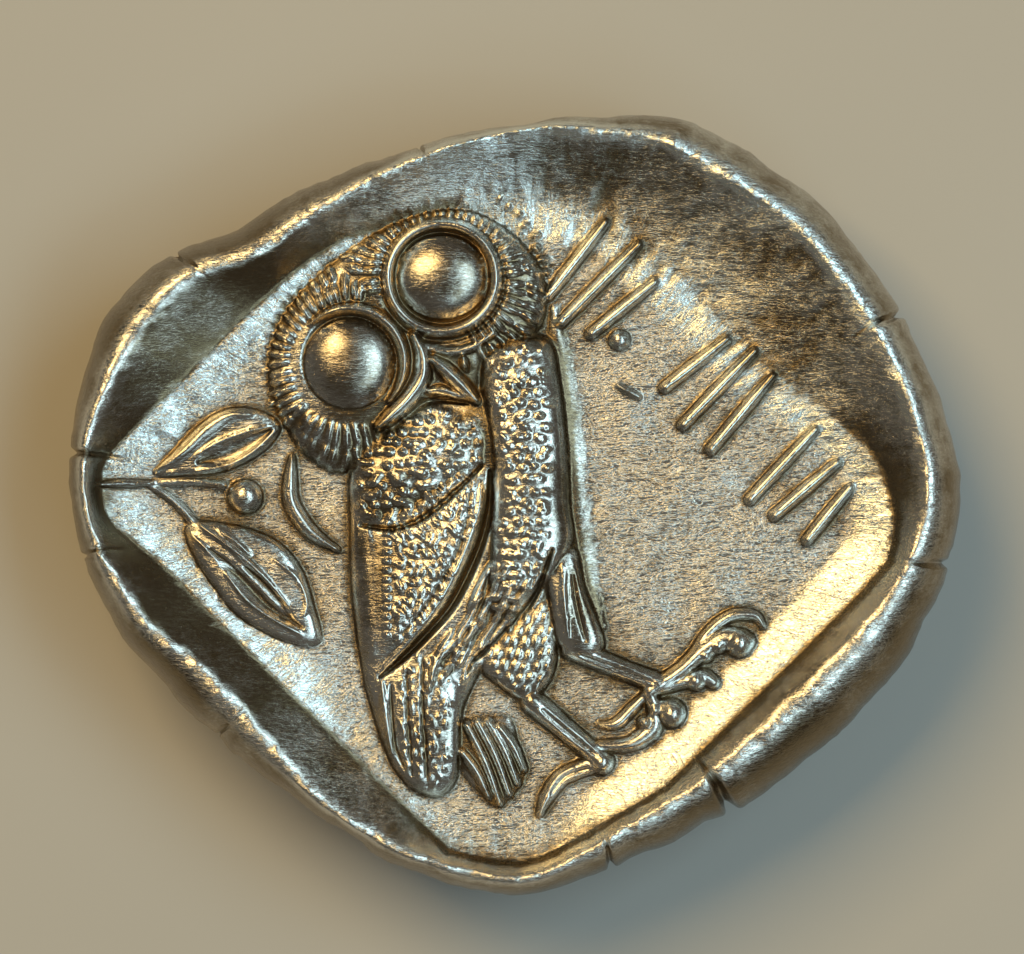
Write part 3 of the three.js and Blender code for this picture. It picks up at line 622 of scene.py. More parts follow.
def outside_square(x, y):
    """How far outside the rounded square a point lies."""
    cos, sin = direction(SQUARE["turn"])
    inner = SQUARE["half"] - SQUARE["corner"]
    u = np.abs((x - SQUARE["x"]) * cos + (y - SQUARE["y"]) * sin) - inner
    v = np.abs((y - SQUARE["y"]) * cos - (x - SQUARE["x"]) * sin) - inner
    return np.hypot(np.maximum(u, 0), np.maximum(v, 0)) + np.minimum(np.maximum(u, v), 0) - SQUARE["corner"]


def radial_grain(rng, x, y, across, along):
    """Random streaks that run outwards from the middle."""
    turns, rings = 3072, 512
    reach = 14.0
    angle_reach = across / (2 * math.pi * 9.0) * turns
    field = grain(rng, (turns, rings), angle_reach, along / reach * rings)
    i = (np.arctan2(y, x) / (2 * math.pi) % 1) * turns
    j = np.clip(np.hypot(x, y) / reach, 0, 1) * (rings - 1)
    i0, j0 = i.astype(int) % turns, np.minimum(j.astype(int), rings - 2)
    fi, fj = i - i.astype(int), j - j0
    i1 = (i0 + 1) % turns
    low = field[i0, j0] * (1 - fi) + field[i1, j0] * fi
    high = field[i0, j0 + 1] * (1 - fi) + field[i1, j0 + 1] * fi
    return low * (1 - fj) + high * fj


def on_side(angle, middle, least, spread):
    """How far each angle belongs to a side, from 0 to 1."""
    return ease((np.cos(angle - math.radians(middle)) - least) / spread)


def wall_of(relief, flan):
    """The ramp, wall and lip round the sunken ground. Also their marks, and where the ramp is a bevel."""
    x, y = relief.x, relief.y
    angle, reach = np.arctan2(y, x), np.hypot(x, y)
    inside_lip = flan.lip(angle) - reach
    # from the top to the right there is no wall, only ground that climbs evenly to the lip
    even = ease(1.5 * np.cos(angle - math.radians(EVEN_SIDE)) - 0.35)
    sides = (BEVEL_SIDE, WIDE_SIDE, LOW_SIDE, DARK_SIDE)
    bevelled, wide, low, dark = (on_side(angle, *side) for side in sides)
    outside = outside_square(x, y) + 1.2 * even - 0.4 * wide - 0.12 * bevelled
    beyond_foot = np.maximum(outside, LEAST_WALL + 1.7 * even - inside_lip)
    curved_rise = RAMP_RISE * (1 - 0.8 * even) * (1 + 0.3 * wide) * (1 - 0.6 * low)
    foot_rise = curved_rise * (1 - bevelled) + BEVEL["rise"] * bevelled
    curved = curved_rise * np.exp(np.minimum(beyond_foot, 0) / (RAMP_REACH * (1 + 0.7 * wide)))
    on_bevel = np.minimum(beyond_foot, 0) / BEVEL["width"] + 1
    flat = BEVEL["rise"] * np.where(on_bevel > 0.15, on_bevel, np.clip(on_bevel + 0.15, 0, None) ** 2 / 0.6)
    ramp = curved * (1 - bevelled) + flat * bevelled
    climb = np.clip(beyond_foot, 0, None)
    left = np.clip(inside_lip, 0, None)
    whole = climb + left + 1e-6
    foot = np.minimum(FOOT_CURVE, 0.4 * whole)
    brow = np.minimum(BROW_CURVE + BEVEL["brow"] * bevelled, 0.5 * whole)
    rise = np.where(climb < foot, climb**2 / (2 * foot), climb - foot / 2)
    rise = rise - np.clip(brow - left, 0, None) ** 2 / (2 * brow)
    share = (1 - even) * rise / (whole - foot / 2 - brow / 2) + even * (climb / whole) ** 1.5
    lip = WALL + LIP_SWING * np.cos(2 * angle) + 0.06 * wide
    wall = ramp + (lip - foot_rise) * share
    flow = np.exp(-((np.minimum(beyond_foot + 0.45, 0) / 0.7) ** 2))
    flow = flow * (1 - ease(beyond_foot / 0.15) * (1 - 0.7 * even)) * (1 - 0.6 * low)
    # the walls and the side with no wall are darkened: toning, and painted shade for the dark they would
    # reflect
    toned_and_shaded = ease(climb / 0.12) * (1 - even) * (1 - 0.6 * bevelled) * (1 - 0.5 * low)
    toned_and_shaded = toned_and_shaded + 0.9 * even * dark * ease(beyond_foot / 1.2 + 0.8)
    marks = {
        # the crest mark also lightens the lip's silver as a painted highlight
        "flow": flow,
        "patina_and_shade": toned_and_shaded * ease(left / 0.3),
        "crest": ease((0.35 - np.abs(inside_lip)) / 0.35),
    }
    return wall, marks, bevelled


def cut_splits(relief, flan):
    """Cuts each split down through the lip, deepest at the edge."""
    for at, inward, half, depth in SPLITS:
        turn = math.radians(at)
        outer = float(flan.edge(np.array([turn]))[0]) + 0.6
        middle = outer - 0.6 - inward * 0.55
        bend = turn + 0.012 * math.sin(at)
        points = [(outer, turn), (middle, bend), (outer - 0.6 - inward, turn)]
        widths = (half * 1.6, half, 0.02)
        path = curve([(r * math.cos(a), r * math.sin(a), w) for (r, a), w in zip(points, widths)])
        part, share = relief.beside(path, half * 2)
        fade = np.clip((np.hypot(relief.x[part], relief.y[part]) - outer + 0.6 + inward) / inward, 0, 1)
        relief.z[part] -= depth * fade * np.clip(1 - share, 0, 1)


# ---- The owl side ----


def strike_eye(relief, eye):
    """An eyeball in a socket, and the rings round it."""
    x, y = eye["x"], eye["y"]
    reach = SOCKET["reach"]
    part = relief.near([(x - reach, y - reach), (x + reach, y + reach)], 0.1)
    away = np.hypot(relief.x[part] - x, relief.y[part] - y)
    floor = SOCKET["floor"] + 0.6 * ease((away - eye["groove"]) / SOCKET["wall"])
    np.minimum(relief.z[part], floor, out=relief.z[part])
    relief.dome(x, y, eye["long"], eye["short"], eye["rise"], base=SOCKET["ball_foot"])
    rim = ellipse(x, y, eye["long"] + RIM["gap"], eye["short"] + RIM["gap"])
    relief.welt(RIM["rise"], RIM["half"], np.vstack([rim, rim[:2]]), taper=False)
    for radius, half, rise, start, stop in eye["rings"]:
        relief.welt(rise, half, arc(x, y, radius, start, stop), taper=abs(stop - start) < 360)


def strike_fringe(relief, rng):
    """Short feathers round the face. They stand out from the nearer eye, in rows."""
    inside = relief.inside(HEAD[2])
    for eye, start, stop in FRINGE_SPANS:
        x, y = eye["x"], eye["y"]
        other = RIGHT_EYE if eye is LEFT_EYE else LEFT_EYE
        for turn in np.arange(start, stop, FRINGE["apart"]):
            turn = math.radians(turn + rng.uniform(-1.2, 1.2))
            cos, sin = math.cos(turn), math.sin(turn)
            reach = 1.7
            while inside(x + reach * cos, y + reach * sin) and reach < FRINGE["furthest"]:
                reach += 0.04
            if reach < FRINGE["least"]:
                continue
            rows = max(1, round((reach - FRINGE["start"]) / FRINGE["feather"]))
            long = (reach - FRINGE["start"]) / rows / 2
            for row in range(rows):
                out = 1.72 + long * (2 * row + 1) + rng.uniform(-0.03, 0.06)
                bx, by = x + out * cos, y + out * sin
                if math.hypot(bx - other["x"], by - other["y"]) < out:
                    continue
                half = rng.uniform(0.08, 0.1) + 0.015 * row
                rise = rng.uniform(0.13, 0.2) * (0.5 if by < 2.6 else 1)  # lower under the chin
                relief.bead(bx, by, long * 1.15, half, turn + rng.uniform(-0.2, 0.2), rise)


def strike_head(relief, rng):
    for eye, start, stop, reach in WISPS:
        for turn in np.arange(start, stop, 7.5):
            turn = math.radians(turn + rng.uniform(-1, 1))
            out = reach + rng.uniform(-0.08, 0.08)
            x, y = eye["x"] + out * math.cos(turn), eye["y"] + out * math.sin(turn)
            relief.bead(x, y, rng.uniform(0.16, 0.24), 0.1, turn, rng.uniform(0.16, 0.26))
    relief.cushion(*HEAD)
    strike_fringe(relief, rng)
    strike_eye(relief, RIGHT_EYE)
    strike_eye(relief, LEFT_EYE)
    for rise, line in FACE_LIMBS:
        relief.limb(rise, line)
    relief.bead(-1.42, 4.02, 0.24, 0.12, math.radians(100), 0.34)  # between the beak and the right eye
    relief.welt(*BEAK_LINE)


def strike_pellet(relief, rng, x, y, kind):
    """A pellet of random size and lean. Gives its size."""
    size = rng.uniform(*kind["size"])
    long = size * rng.uniform(*kind["length"])
    lean = rng.uniform(*kind["lean"])
    relief.bead(x, y, long, size * kind["width"], lean, rng.uniform(*kind["rise"]))
    return size


def strike_feather(relief, rng, x, y, kind):
    lean = math.radians(rng.uniform(*kind["lean"]))
    long = rng.uniform(*kind["long"])
    half = rng.uniform(*kind["half"])
    relief.bead(x, y, long, half, lean, rng.uniform(*kind["rise"]))


def strike_breast(relief, rng):
    relief.cushion(*BREAST)
    for x, y in scatter(rng, BREAST[2], **BREAST_ROWS):
        if x < 0.95 - 0.1 * max(y - 3, 0):
            if strike_pellet(relief, rng, x, y, BREAST_PELLET) > 0.15:
                relief.bead(x, y, 0.06, 0.06, 0, -0.07)


def strike_wing(relief, rng):
    relief.cushion(*WING)
    for x, y in scatter(rng, WING[2], **WING_ROWS):
        if x > -3.4:
            strike_feather(relief, rng, x, y, WING_FEATHER)
    for y in np.arange(-3.6, -0.3, 0.26):
        relief.bead(-3.6, y, 0.11, 0.1, 0, 0.1)
    relief.welts(WING_LINES)


def strike_shoulder(relief, rng):
    relief.cushion(*SHOULDER)
    for x, y in scatter(rng, SHOULDER[2], **SHOULDER_ROWS):
        if x < -1.3 + 0.2 * y:
            strike_pellet(relief, rng, x, y, SHOULDER_PELLET)
    relief.welts(SHOULDER_LINES)
    for x, y in SHOULDER_HEM:
        relief.bead(x, y, 0.15, 0.12, 0.5, 0.1)


def strike_tail(relief, rng):
    relief.cushion(*TAIL_FAN)
    for start, end in FAN_FEATHERS:
        middle = np.add(start, end) / 2 + (0.05, 0.05)
        relief.limb(0.36, [(*start, 0.13), (*middle, 0.16), (*end, 0.1)])
    relief.cushion(*TAIL)
    relief.welts(TAIL_LINES)
    for x, y in scatter(rng, TAIL[2], **TAIL_ROWS):
        if x > -3.2:
            strike_feather(relief, rng, x, y, TAIL_FEATHER)


def strike_rump(relief, rng):
    relief.cushion(*RUMP)
    for line in RUMP_FEATHERS:
        relief.welt(0.13, 0.13, line)
    for _ in range(RUMP_WISPS):
        t, s = rng.uniform(0, 1), rng.uniform(-1, 1)
        x = -0.1 - 1.6 * t + s * (0.75 - 0.5 * t)
        y = -1.9 - 3.0 * t - 0.25 * s
        relief.bead(x, y, 0.2, 0.07, math.radians(rng.uniform(45, 75)), 0.09)
    relief.welt(*RUMP_EDGE)


def strike_legs(relief, rng):
    for form in (FAR_THIGH, NEAR_THIGH):
        relief.cushion(*form)
    for x, y in scatter(rng, FAR_THIGH[2], **THIGH_ROWS):
        relief.bead(x, y, 0.17, 0.08, math.radians(rng.uniform(50, 80)), 0.06)
    relief.welts(THIGH_LINES)
    for rise, line in LEGS:
        relief.limb(rise, line)
    relief.welts(SHANK_LINES)
    for x, y, r in KNUCKLES:
        relief.dome(x, y, r, r, 0.34 + 0.5 * r)


def strike_spray(relief):
    for rise, line in STALKS:
        relief.limb(rise, line)
    relief.cushion(*UPPER_LEAF)
    relief.welts(UPPER_LEAF_LINES)
    relief.cushion(*LOWER_LEAF)
    relief.welts(LOWER_LEAF_LINES)
    relief.dome(**BERRY)
    relief.limb(*CRESCENT)


def strike_strokes(relief):
    """Rows of short strokes, and the pellet and scratch beside them."""
    row_x, row_y = direction(STROKE["row_turn"])
    half = STROKE["half"]
    for x, y, lengths, leans in STROKE_ROWS:
        for i, (length, lean) in enumerate(zip(lengths, leans)):
            along = (i - (len(lengths) - 1) / 2) * STROKE["spacing"]
            cx, cy = x + along * row_x, y + along * row_y
            dx, dy = (length / 2 * share for share in direction(lean))
            line = [(cx - dx, cy - dy, half * 0.9), (cx, cy, half), (cx + dx, cy + dy, half * 0.8)]
            relief.limb(STROKE["rise"], line)
            relief.bead(cx - dx, cy - dy, half, half, 0, 0.05)
    relief.limb(*SCRATCH)
    relief.dome(**PELLET)


def owl_side(flan, rng):
    relief = Relief()
    relief.welt(*BREAST_BANK)
    relief.cushion(*BODY)
    strike_head(relief, rng)
    strike_breast(relief, rng)
    strike_tail(relief, rng)
    strike_rump(relief, rng)
    strike_wing(relief, rng)
    strike_shoulder(relief, rng)
    strike_legs(relief, rng)
    strike_spray(relief)
    strike_strokes(relief)
    figure = ease(relief.z / 0.12)
    wall, marks, bevelled = wall_of(relief, flan)
    # a form shows where it stands above the ramp, and the stalk's end runs up onto it
    relief.z = np.maximum(relief.z, wall)
    relief.welt(*STALK_END)
    ribs = radial_grain(rng, relief.x, relief.y, 0.07, 0.2)
    relief.z += (1 - figure) * marks["flow"] * (1 - 0.6 * bevelled) * UNEVEN * ribs
    relief.z += UNEVEN * grain(rng, relief.z.shape, 20, 20)
    relief.z += marks["crest"] * (0.03 * grain(rng, relief.z.shape, 12, 12) + UNEVEN * ribs)
    cut_splits(relief, flan)
    relief.wear(0.03)
    # these places darken the patina mark further: toning and painted shade, most on the eyes and on the
    # shadow sides of the head and breast
    for x, y, wide, tall, share in TONED_AND_SHADED:
        away = np.hypot((relief.x - x) / wide, (relief.y - y) / tall)
        marks["patina_and_shade"] = np.maximum(marks["patina_and_shade"], share * ease((1.2 - away) / 0.5) * figure)
    marks["flow"] = marks["flow"] * (1 - figure)
    relief.marks = {**marks, "figure": figure, "hollow": hollows(relief.z)}
    return relief


# ---- The head side ----


def strike_helmet(relief):
    relief.cushion(1.1, 2.6, ellipse(BOWL["x"], BOWL["y"], BOWL["long"], BOWL["short"], BOWL["turn"], 24))
    crest = arc(CREST["x"], CREST["y"], CREST["radius"], CREST["from"], CREST["to"], 30)
    relief.limb(1.0, np.column_stack([crest, np.full(len(crest), CREST["half"])]), per_span=2)
    for turn in np.arange(CREST["from"] + 2, CREST["to"], 3.2):
        mid = arc(CREST["x"], CREST["y"], CREST["radius"] + 0.12, turn, turn, 1)[0]
        relief.bead(*mid, 0.5, 0.1, math.radians(turn + 14), 0.12)
    inner = arc(CREST["x"], CREST["y"], CREST["radius"] - 0.72, CREST["from"], CREST["to"], 30)
    relief.welt(0.16, 0.14, inner, taper=False)
    for x, y, turn in HELMET_LEAVES:
        relief.bead(x, y, 0.85, 0.3, math.radians(turn), 0.16)
        cos, sin = direction(turn)
        relief.welt(-0.07, 0.06, [(x - 0.7 * cos, y - 0.7 * sin), (x, y), (x + 0.7 * cos, y + 0.7 * sin)])
    relief.welts(SCROLL_LINES)


def strike_face(relief):
    relief.cushion(*NECK)
    relief.cushion(*NECK_GUARD)
    relief.cushion(*FACE)
    relief.dome(**CHEEK)
    # the brow, the eyelids and the eye
    relief.bead(4.55, 1.6, 0.9, 0.3, math.radians(100), 0.1)
    relief.welt(0.12, 0.14, [(2.2, 1.15), (3.1, 1.3), (4.0, 1.1)])
    relief.welt(-0.14, 0.22, [(2.5, 0.75), (3.3, 0.85), (4.1, 0.5)])
    relief.bead(3.3, 0.35, 0.62, 0.26, math.radians(-6), 0.14)
    relief.welt(0.12, 0.07, [(2.5, 0.35), (3.1, 0.68), (3.6, 0.62), (4.05, 0.3)])
    relief.welt(0.09, 0.06, [(2.5, 0.3), (3.1, 0.08), (3.7, 0.08), (4.05, 0.25)])
    # the side of the nose, the lips and the chin
    relief.bead(4.75, -0.55, 0.42, 0.3, 0.4, 0.12)
    relief.welt(-0.1, 0.08, [(4.35, -0.25), (4.3, -0.6), (4.5, -0.85)])
    relief.bead(4.7, -1.62, 0.4, 0.16, math.radians(8), 0.12)
    relief.bead(4.6, -2.15, 0.36, 0.17, math.radians(-6), 0.12)
    relief.welt(-0.12, 0.07, [(4.0, -1.85), (4.5, -1.86), (5.0, -1.85)])
    relief.bead(4.2, -3.3, 0.6, 0.5, 0.5, 0.12)
    # the ear and its drop
    relief.welt(0.16, 0.16, [(-0.9, -0.7), (-0.3, -0.45), (0.05, -1.0), (-0.3, -1.7), (-0.8, -1.95)])
    relief.welt(0.1, 0.1, [(-0.75, -1.0), (-0.4, -1.05), (-0.45, -1.5)])
    relief.bead(-0.35, -2.75, 0.5, 0.5, 0, 0.26)
    relief.bead(-0.35, -2.75, 0.2, 0.2, 0, 0.1)
    # locks under the brim, locks behind the ear, and the necklace
    for k in range(7):
        dx = -1.0 * k / 6
        relief.welt(0.1, 0.1, [(3.9 - 0.62 * k, 2.15 - 0.3 * k), (3.5 - 0.62 * k, 1.75 - 0.34 * k),
                               (3.2 - 0.6 * k + dx * 0.2, 1.5 - 0.36 * k)])
    for k in range(5):
        relief.welt(0.09, 0.1, [
            (-2.2, -1.3 - 0.5 * k), (-1.6 + 0.1 * k, -2.1 - 0.5 * k), (-2.1, -3.0 - 0.5 * k)])
    for k in range(7):
        x, y = 1.9 - 0.8 * k, -7.35 - 0.28 * math.sin(math.pi * k / 6)
        relief.bead(x, y, 0.3, 0.3, 0, 0.22)
    relief.limb(1.2, BRIM)
    relief.welt(0.1, 0.12, [(-5.6, -0.6), (-5.85, -2.2), (-6.0, -3.7)])


def head_side(rng):
    relief = Relief()
    strike_helmet(relief)
    strike_face(relief)
    figure = ease(relief.z / 0.15)
    relief.z += 0.016 * grain(rng, relief.z.shape, 40, 40)
    relief.z += (1 - figure) * 0.008 * radial_grain(rng, relief.x, relief.y, 0.35, 1.1)
    relief.wear(0.045)
    # the highest forms are worn lower, as the coin lies on them
    high = np.clip(relief.z - WORN_FROM, 0, None)
    worn = HEAD_FIELD_Z - WORN_FROM
    relief.z = np.minimum(relief.z, WORN_FROM) + worn * np.tanh(high / worn)
    none = np.zeros_like(figure)
    relief.marks = {
        "flow": none, "patina_and_shade": none, "crest": none, "figure": figure, "hollow": hollows(relief.z),
    }
    return relief


# ---- From grids to a mesh ----


def lattice_disc():
    """The lattice's points mapped to a disc: how far out each lies, and its angle."""
    u, v = np.meshgrid(np.linspace(-1, 1, LATTICE + 1), np.linspace(-1, 1, LATTICE + 1), indexing="ij")
    x, y = u * np.sqrt(1 - v * v / 2), v * np.sqrt(1 - u * u / 2)
    out = np.where(np.maximum(np.abs(u), np.abs(v)) == 1, 1, np.hypot(x, y))
    return out, np.arctan2(y, x)


def sample(values, x, y):
    """The grid's values at any points, by straight lines between the nearest four."""
    i, j = (x + REACH_X) / PITCH, (y + REACH_Y) / PITCH
    i0 = np.clip(i.astype(int), 0, values.shape[0] - 2)
    j0 = np.clip(j.astype(int), 0, values.shape[1] - 2)
    fi, fj = i - i0, j - j0
    return ((values[i0, j0] * (1 - fi) + values[i0 + 1, j0] * fi) * (1 - fj)
            + (values[i0, j0 + 1] * (1 - fi) + values[i0 + 1, j0 + 1] * fi) * fj)


def face_points(out, angle, reach_at, edge, height, dents):
    """The lattice's points on one face and its rounded edge."""
    inward = np.clip((1 - out) / (1 - EDGE_START), 0, 1)
    rounded = edge - (edge - reach_at) * (1 - np.cos(inward * math.pi / 2))
    reach = np.where(out < EDGE_START, out / EDGE_START * reach_at, rounded)
    reach = reach + dents * np.sin(inward * math.pi)
    x, y = reach * np.cos(angle), reach * np.sin(angle)
    shoulder_x, shoulder_y = reach_at * np.cos(angle), reach_at * np.sin(angle)
    on_face = out < EDGE_START
    z = height(np.where(on_face, x, shoulder_x), np.where(on_face, y, shoulder_y))
    z = np.where(on_face, z, EQUATOR + (z - EQUATOR) * np.sin(inward * math.pi / 2))
    return np.stack([x, y, z], axis=-1)


def bends(points, normals):
    """For each lattice point, how far off the surface a triangle is that isn't split there."""
    worst = np.zeros(points.shape[:2])
    size = LATTICE

    def stray(middle, a, b):
        return np.abs(((points[middle] - (points[a] + points[b]) / 2) * normals[middle]).sum(-1))

    index = np.arange(size + 1)
    from_edge = np.minimum(np.minimum(index, size - index)[:, None], np.minimum(index, size - index)[None, :])
    step = 1
    while step < size:
        half = step // 2
        odd = np.arange(step, size, 2 * step)
        even = np.arange(0, size + 1, 2 * step)
        for across, (i_list, j_list) in enumerate(((odd, even), (even, odd))):
            i, j = np.meshgrid(i_list, j_list, indexing="ij")
            di, dj = (step, 0) if across == 0 else (0, step)
            error = stray((i, j), (i - di, j - dj), (i + di, j + dj))
            if half:
                for si, sj in ((half, half), (half, -half), (-half, half), (-half, -half)):
                    ni, nj = i + si, j + sj
                    valid = (ni >= 0) & (nj >= 0) & (ni <= size) & (nj <= size)
                    near = worst[np.clip(ni, 0, size), np.clip(nj, 0, size)]
                    error = np.maximum(error, np.where(valid, near, 0))
            rim = from_edge[i, j]
            if step < EDGE_STEP:
                error = np.where(rim <= EDGE_STEP - 2 * step, 0, error)
            if step >= EDGE_STEP // 2:
                error = np.where(rim == 0, math.inf if step >= EDGE_STEP else 0, error)
            worst[i, j] = error
        i, j = np.meshgrid(odd, odd, indexing="ij")
        lean = np.where((((i // step - 1) // 2 + (j // step - 1) // 2) % 2) == 1, -1, 1)
        error = stray((i, j), (i - step, j - lean * step), (i + step, j + lean * step))
        for si, sj in ((step, 0), (-step, 0), (0, step), (0, -step)):
            error = np.maximum(error, worst[i + si, j + sj])
        if step < EDGE_STEP / 2:
            error = np.where(from_edge[i, j] <= EDGE_STEP - 3 * step, 0, error)
        worst[i, j] = error
        step *= 2
    return worst


def triangles(worst, bend):
    """Halves triangles until none strays by more than the bend. Gives each corner's lattice number."""
    size = LATTICE
    a = np.array([[0, 0], [size, size]])
    b = np.array([[size, size], [0, 0]])
    c = np.array([[size, 0], [0, size]])
    done = []
    while len(a):
        middle = (a + b) // 2
        split = (np.abs(a - c).sum(1) > 1) & (worst[middle[:, 0], middle[:, 1]] > bend)
        done.append(np.stack([a[~split], b[~split], c[~split]], axis=1))
        a, b, c, middle = a[split], b[split], c[split], middle[split]
        a, b, c = np.vstack([c, b]), np.vstack([a, c]), np.vstack([middle, middle])
    corners = np.vstack(done)
    return corners[..., 0] * (size + 1) + corners[..., 1]


def surface_normals(points, outward):
    """A normal at each lattice point, on the side that faces up or down."""
    du, dv = np.gradient(points, axis=0), np.gradient(points, axis=1)
    normal = np.cross(du, dv)
    normal /= np.linalg.norm(normal, axis=-1, keepdims=True) + 1e-12
    return normal * outward


def sew(owl, head, owl_normals, head_normals, settings):
    """One closed mesh from the two faces' points. They share the vertices round the edge."""
    border = np.zeros((LATTICE + 1, LATTICE + 1), bool)
    border[[0, -1], :] = True
    border[:, [0, -1]] = True
    border = border.ravel()
    up = triangles(bends(owl, owl_normals), settings.owl_bend)[:, [0, 2, 1]]
    down = triangles(bends(head, head_normals), settings.head_bend)
    count = (LATTICE + 1) ** 2
    down = np.where(border[down], down, down + count)
    used, faces = np.unique(np.vstack([up, down]), return_inverse=True)
    return used, faces.reshape(-1, 3), border


def strike(settings):
    """The coin's vertices, faces, normals and marks."""
    rng = np.random.default_rng(settings.seed)
    flan = Flan(rng)
    out, angle = lattice_disc()
    edge, lip = flan.edge(angle), flan.lip(angle)
    owl_relief, head_relief = owl_side(flan, rng), head_side(rng)
    dents = 0.02 * radial_grain(rng, out * np.cos(angle) * 12, out * np.sin(angle) * 12, 1.0, 0.6)

    def owl_height(x, y):
        return FIELD_Z + sample(owl_relief.z, x, y)

    def head_height(x, y):
        ground = HEAD_FIELD_Z + HEAD_FIELD_LIFT * (np.hypot(x, y) / FLAN[0][0]) ** 2
        return np.maximum(ground - sample(head_relief.z, -x, y), 0)

    owl = face_points(out, angle, lip, edge, owl_height, dents)
    head = face_points(out, angle, edge - HEAD_EDGE, edge, head_height, dents)
    owl_normals, head_normals = surface_normals(owl, 1), surface_normals(head, -1)
    used, faces, border = sew(owl, head, owl_normals, head_normals, settings)
    points = np.vstack([owl.reshape(-1, 3), head.reshape(-1, 3)])
    normals = np.vstack([owl_normals.reshape(-1, 3), head_normals.reshape(-1, 3)])
    radial = np.column_stack([np.cos(angle).ravel(), np.sin(angle).ravel(), np.zeros(angle.size)])
    normals[: len(border)][border] = radial[border]
    marks = {}
    for name in owl_relief.marks:
        owl_mark = sample(owl_relief.marks[name], owl[..., 0], owl[..., 1])
        head_mark = sample(head_relief.marks[name], -head[..., 0], head[..., 1])
        marks[name] = np.concatenate([owl_mark.ravel(), head_mark.ravel()])[used]
    # the rim's outer slope, darkened in the silver: toning, and painted shade for the dark it would reflect
    marks["edge"] = np.tile(ease((out - EDGE_START) / (1 - EDGE_START) * 2.5).ravel(), 2)[used]
    return points[used], faces, normals[used], marks


def coin_mesh(settings):
    points, faces, normals, marks = strike(settings)
    mesh = bpy.data.meshes.new(PIECE)
    mesh.vertices.add(len(points))
    mesh.vertices.foreach_set("co", (points * MM).astype(np.float32).ravel())
    mesh.loops.add(faces.size)
    mesh.loops.foreach_set("vertex_index", faces.astype(np.int32).ravel())
    mesh.polygons.add(len(faces))
    mesh.polygons.foreach_set("loop_start", np.arange(0, faces.size, 3, dtype=np.int32))
    for name, values in marks.items():
        mesh.attributes.new(name, "FLOAT", "POINT").data.foreach_set("value", values.astype(np.float32))
    mesh.update(calc_edges=True)
    mesh.validate()
    mesh.polygons.foreach_set("use_smooth", np.ones(len(faces), bool))
    mesh.normals_split_custom_set_from_vertices(normals.tolist())
    return mesh


# ---- Silver ----


class Value:
    """A number in a shader, so that shader maths reads as plain expressions."""

    def __init__(self, finish, socket):
        self.finish = finish
        self.socket = socket

    def maths(self, operation, *others):
        inputs = dict(enumerate((self, *others)))
        return self.finish.value("ShaderNodeMath", {"operation": operation}, inputs)

    def reflected(self, operation, other):
        return self.finish.value("ShaderNodeMath", {"operation": operation}, {0: other, 1: self})

    def __add__(self, other):
        return self.maths("ADD", other)

    def __sub__(self, other):
        return self.maths("SUBTRACT", other)

    def __rsub__(self, other):
        return self.reflected("SUBTRACT", other)

    def __mul__(self, other):
        return self.maths("MULTIPLY", other)

    def __truediv__(self, other):
        return self.maths("DIVIDE", other)

    def __rtruediv__(self, other):
        return self.reflected("DIVIDE", other)

    def __pow__(self, other):
        return self.maths("POWER", other)

    def __rpow__(self, other):
        return self.reflected("POWER", other)

    def __abs__(self):
        return self.maths("ABSOLUTE")

    __radd__ = __add__
    __rmul__ = __mul__

    def ramp(self, low, high):
        """0 at low, 1 at high, smooth between."""
        inputs = {"Value": self, "From Min": low, "From Max": high}
        return self.finish.value("ShaderNodeMapRange", {"interpolation_type": "SMOOTHSTEP"}, inputs)


class Finish:
    """A material under construction."""

    def __init__(self, name):
        self.material = bpy.data.materials.new(name)
        self.material.use_nodes = True
        self.tree = self.material.node_tree
        self.tree.nodes.clear()

    def node(self, kind, settings=None, inputs=None):
        """Adds a node: its settings first, then the values or links of its sockets."""
        made = self.tree.nodes.new(kind)
        for name, value in (settings or {}).items():
            setattr(made, name, value)
        for name, value in (inputs or {}).items():
            if isinstance(value, Value):
                value = value.socket
            if isinstance(value, bpy.types.NodeSocket):
                self.tree.links.new(value, made.inputs[name])
            else:
                made.inputs[name].default_value = value
        return made

    def value(self, kind, settings=None, inputs=None, output=0):
        return Value(self, self.node(kind, settings, inputs).outputs[output])

    def place(self):
        return self.node("ShaderNodeTexCoord").outputs["Object"]

    def surface(self, inputs):
        """Ends the material with its surface."""
        surface = self.node("ShaderNodeBsdfPrincipled", None, inputs)
        self.node("ShaderNodeOutputMaterial", None, {"Surface": surface.outputs[0]})
        return self.material

    def mark(self, name):
        return self.value("ShaderNodeAttribute", {"attribute_name": name}, output="Fac")

    def mix(self, factor, a, b):
        made = self.node("ShaderNodeMix", {"data_type": "RGBA"}, {0: factor, 6: a, 7: b})
        return made.outputs[2]

    def stretched(self, place, turn, scale):
        inputs = {"Vector": place, "Rotation": (0, 0, turn), "Scale": scale}
        return self.node("ShaderNodeMapping", {"vector_type": "POINT"}, inputs).outputs[0]

    def noise(self, place, scale, detail=2.0, roughness=0.5, distortion=0.0):
        inputs = {
            "Vector": place, "Scale": scale, "Detail": detail, "Roughness": roughness,
            "Distortion": distortion,
        }
        return self.value("ShaderNodeTexNoise", {"noise_dimensions": "3D"}, inputs, "Fac")


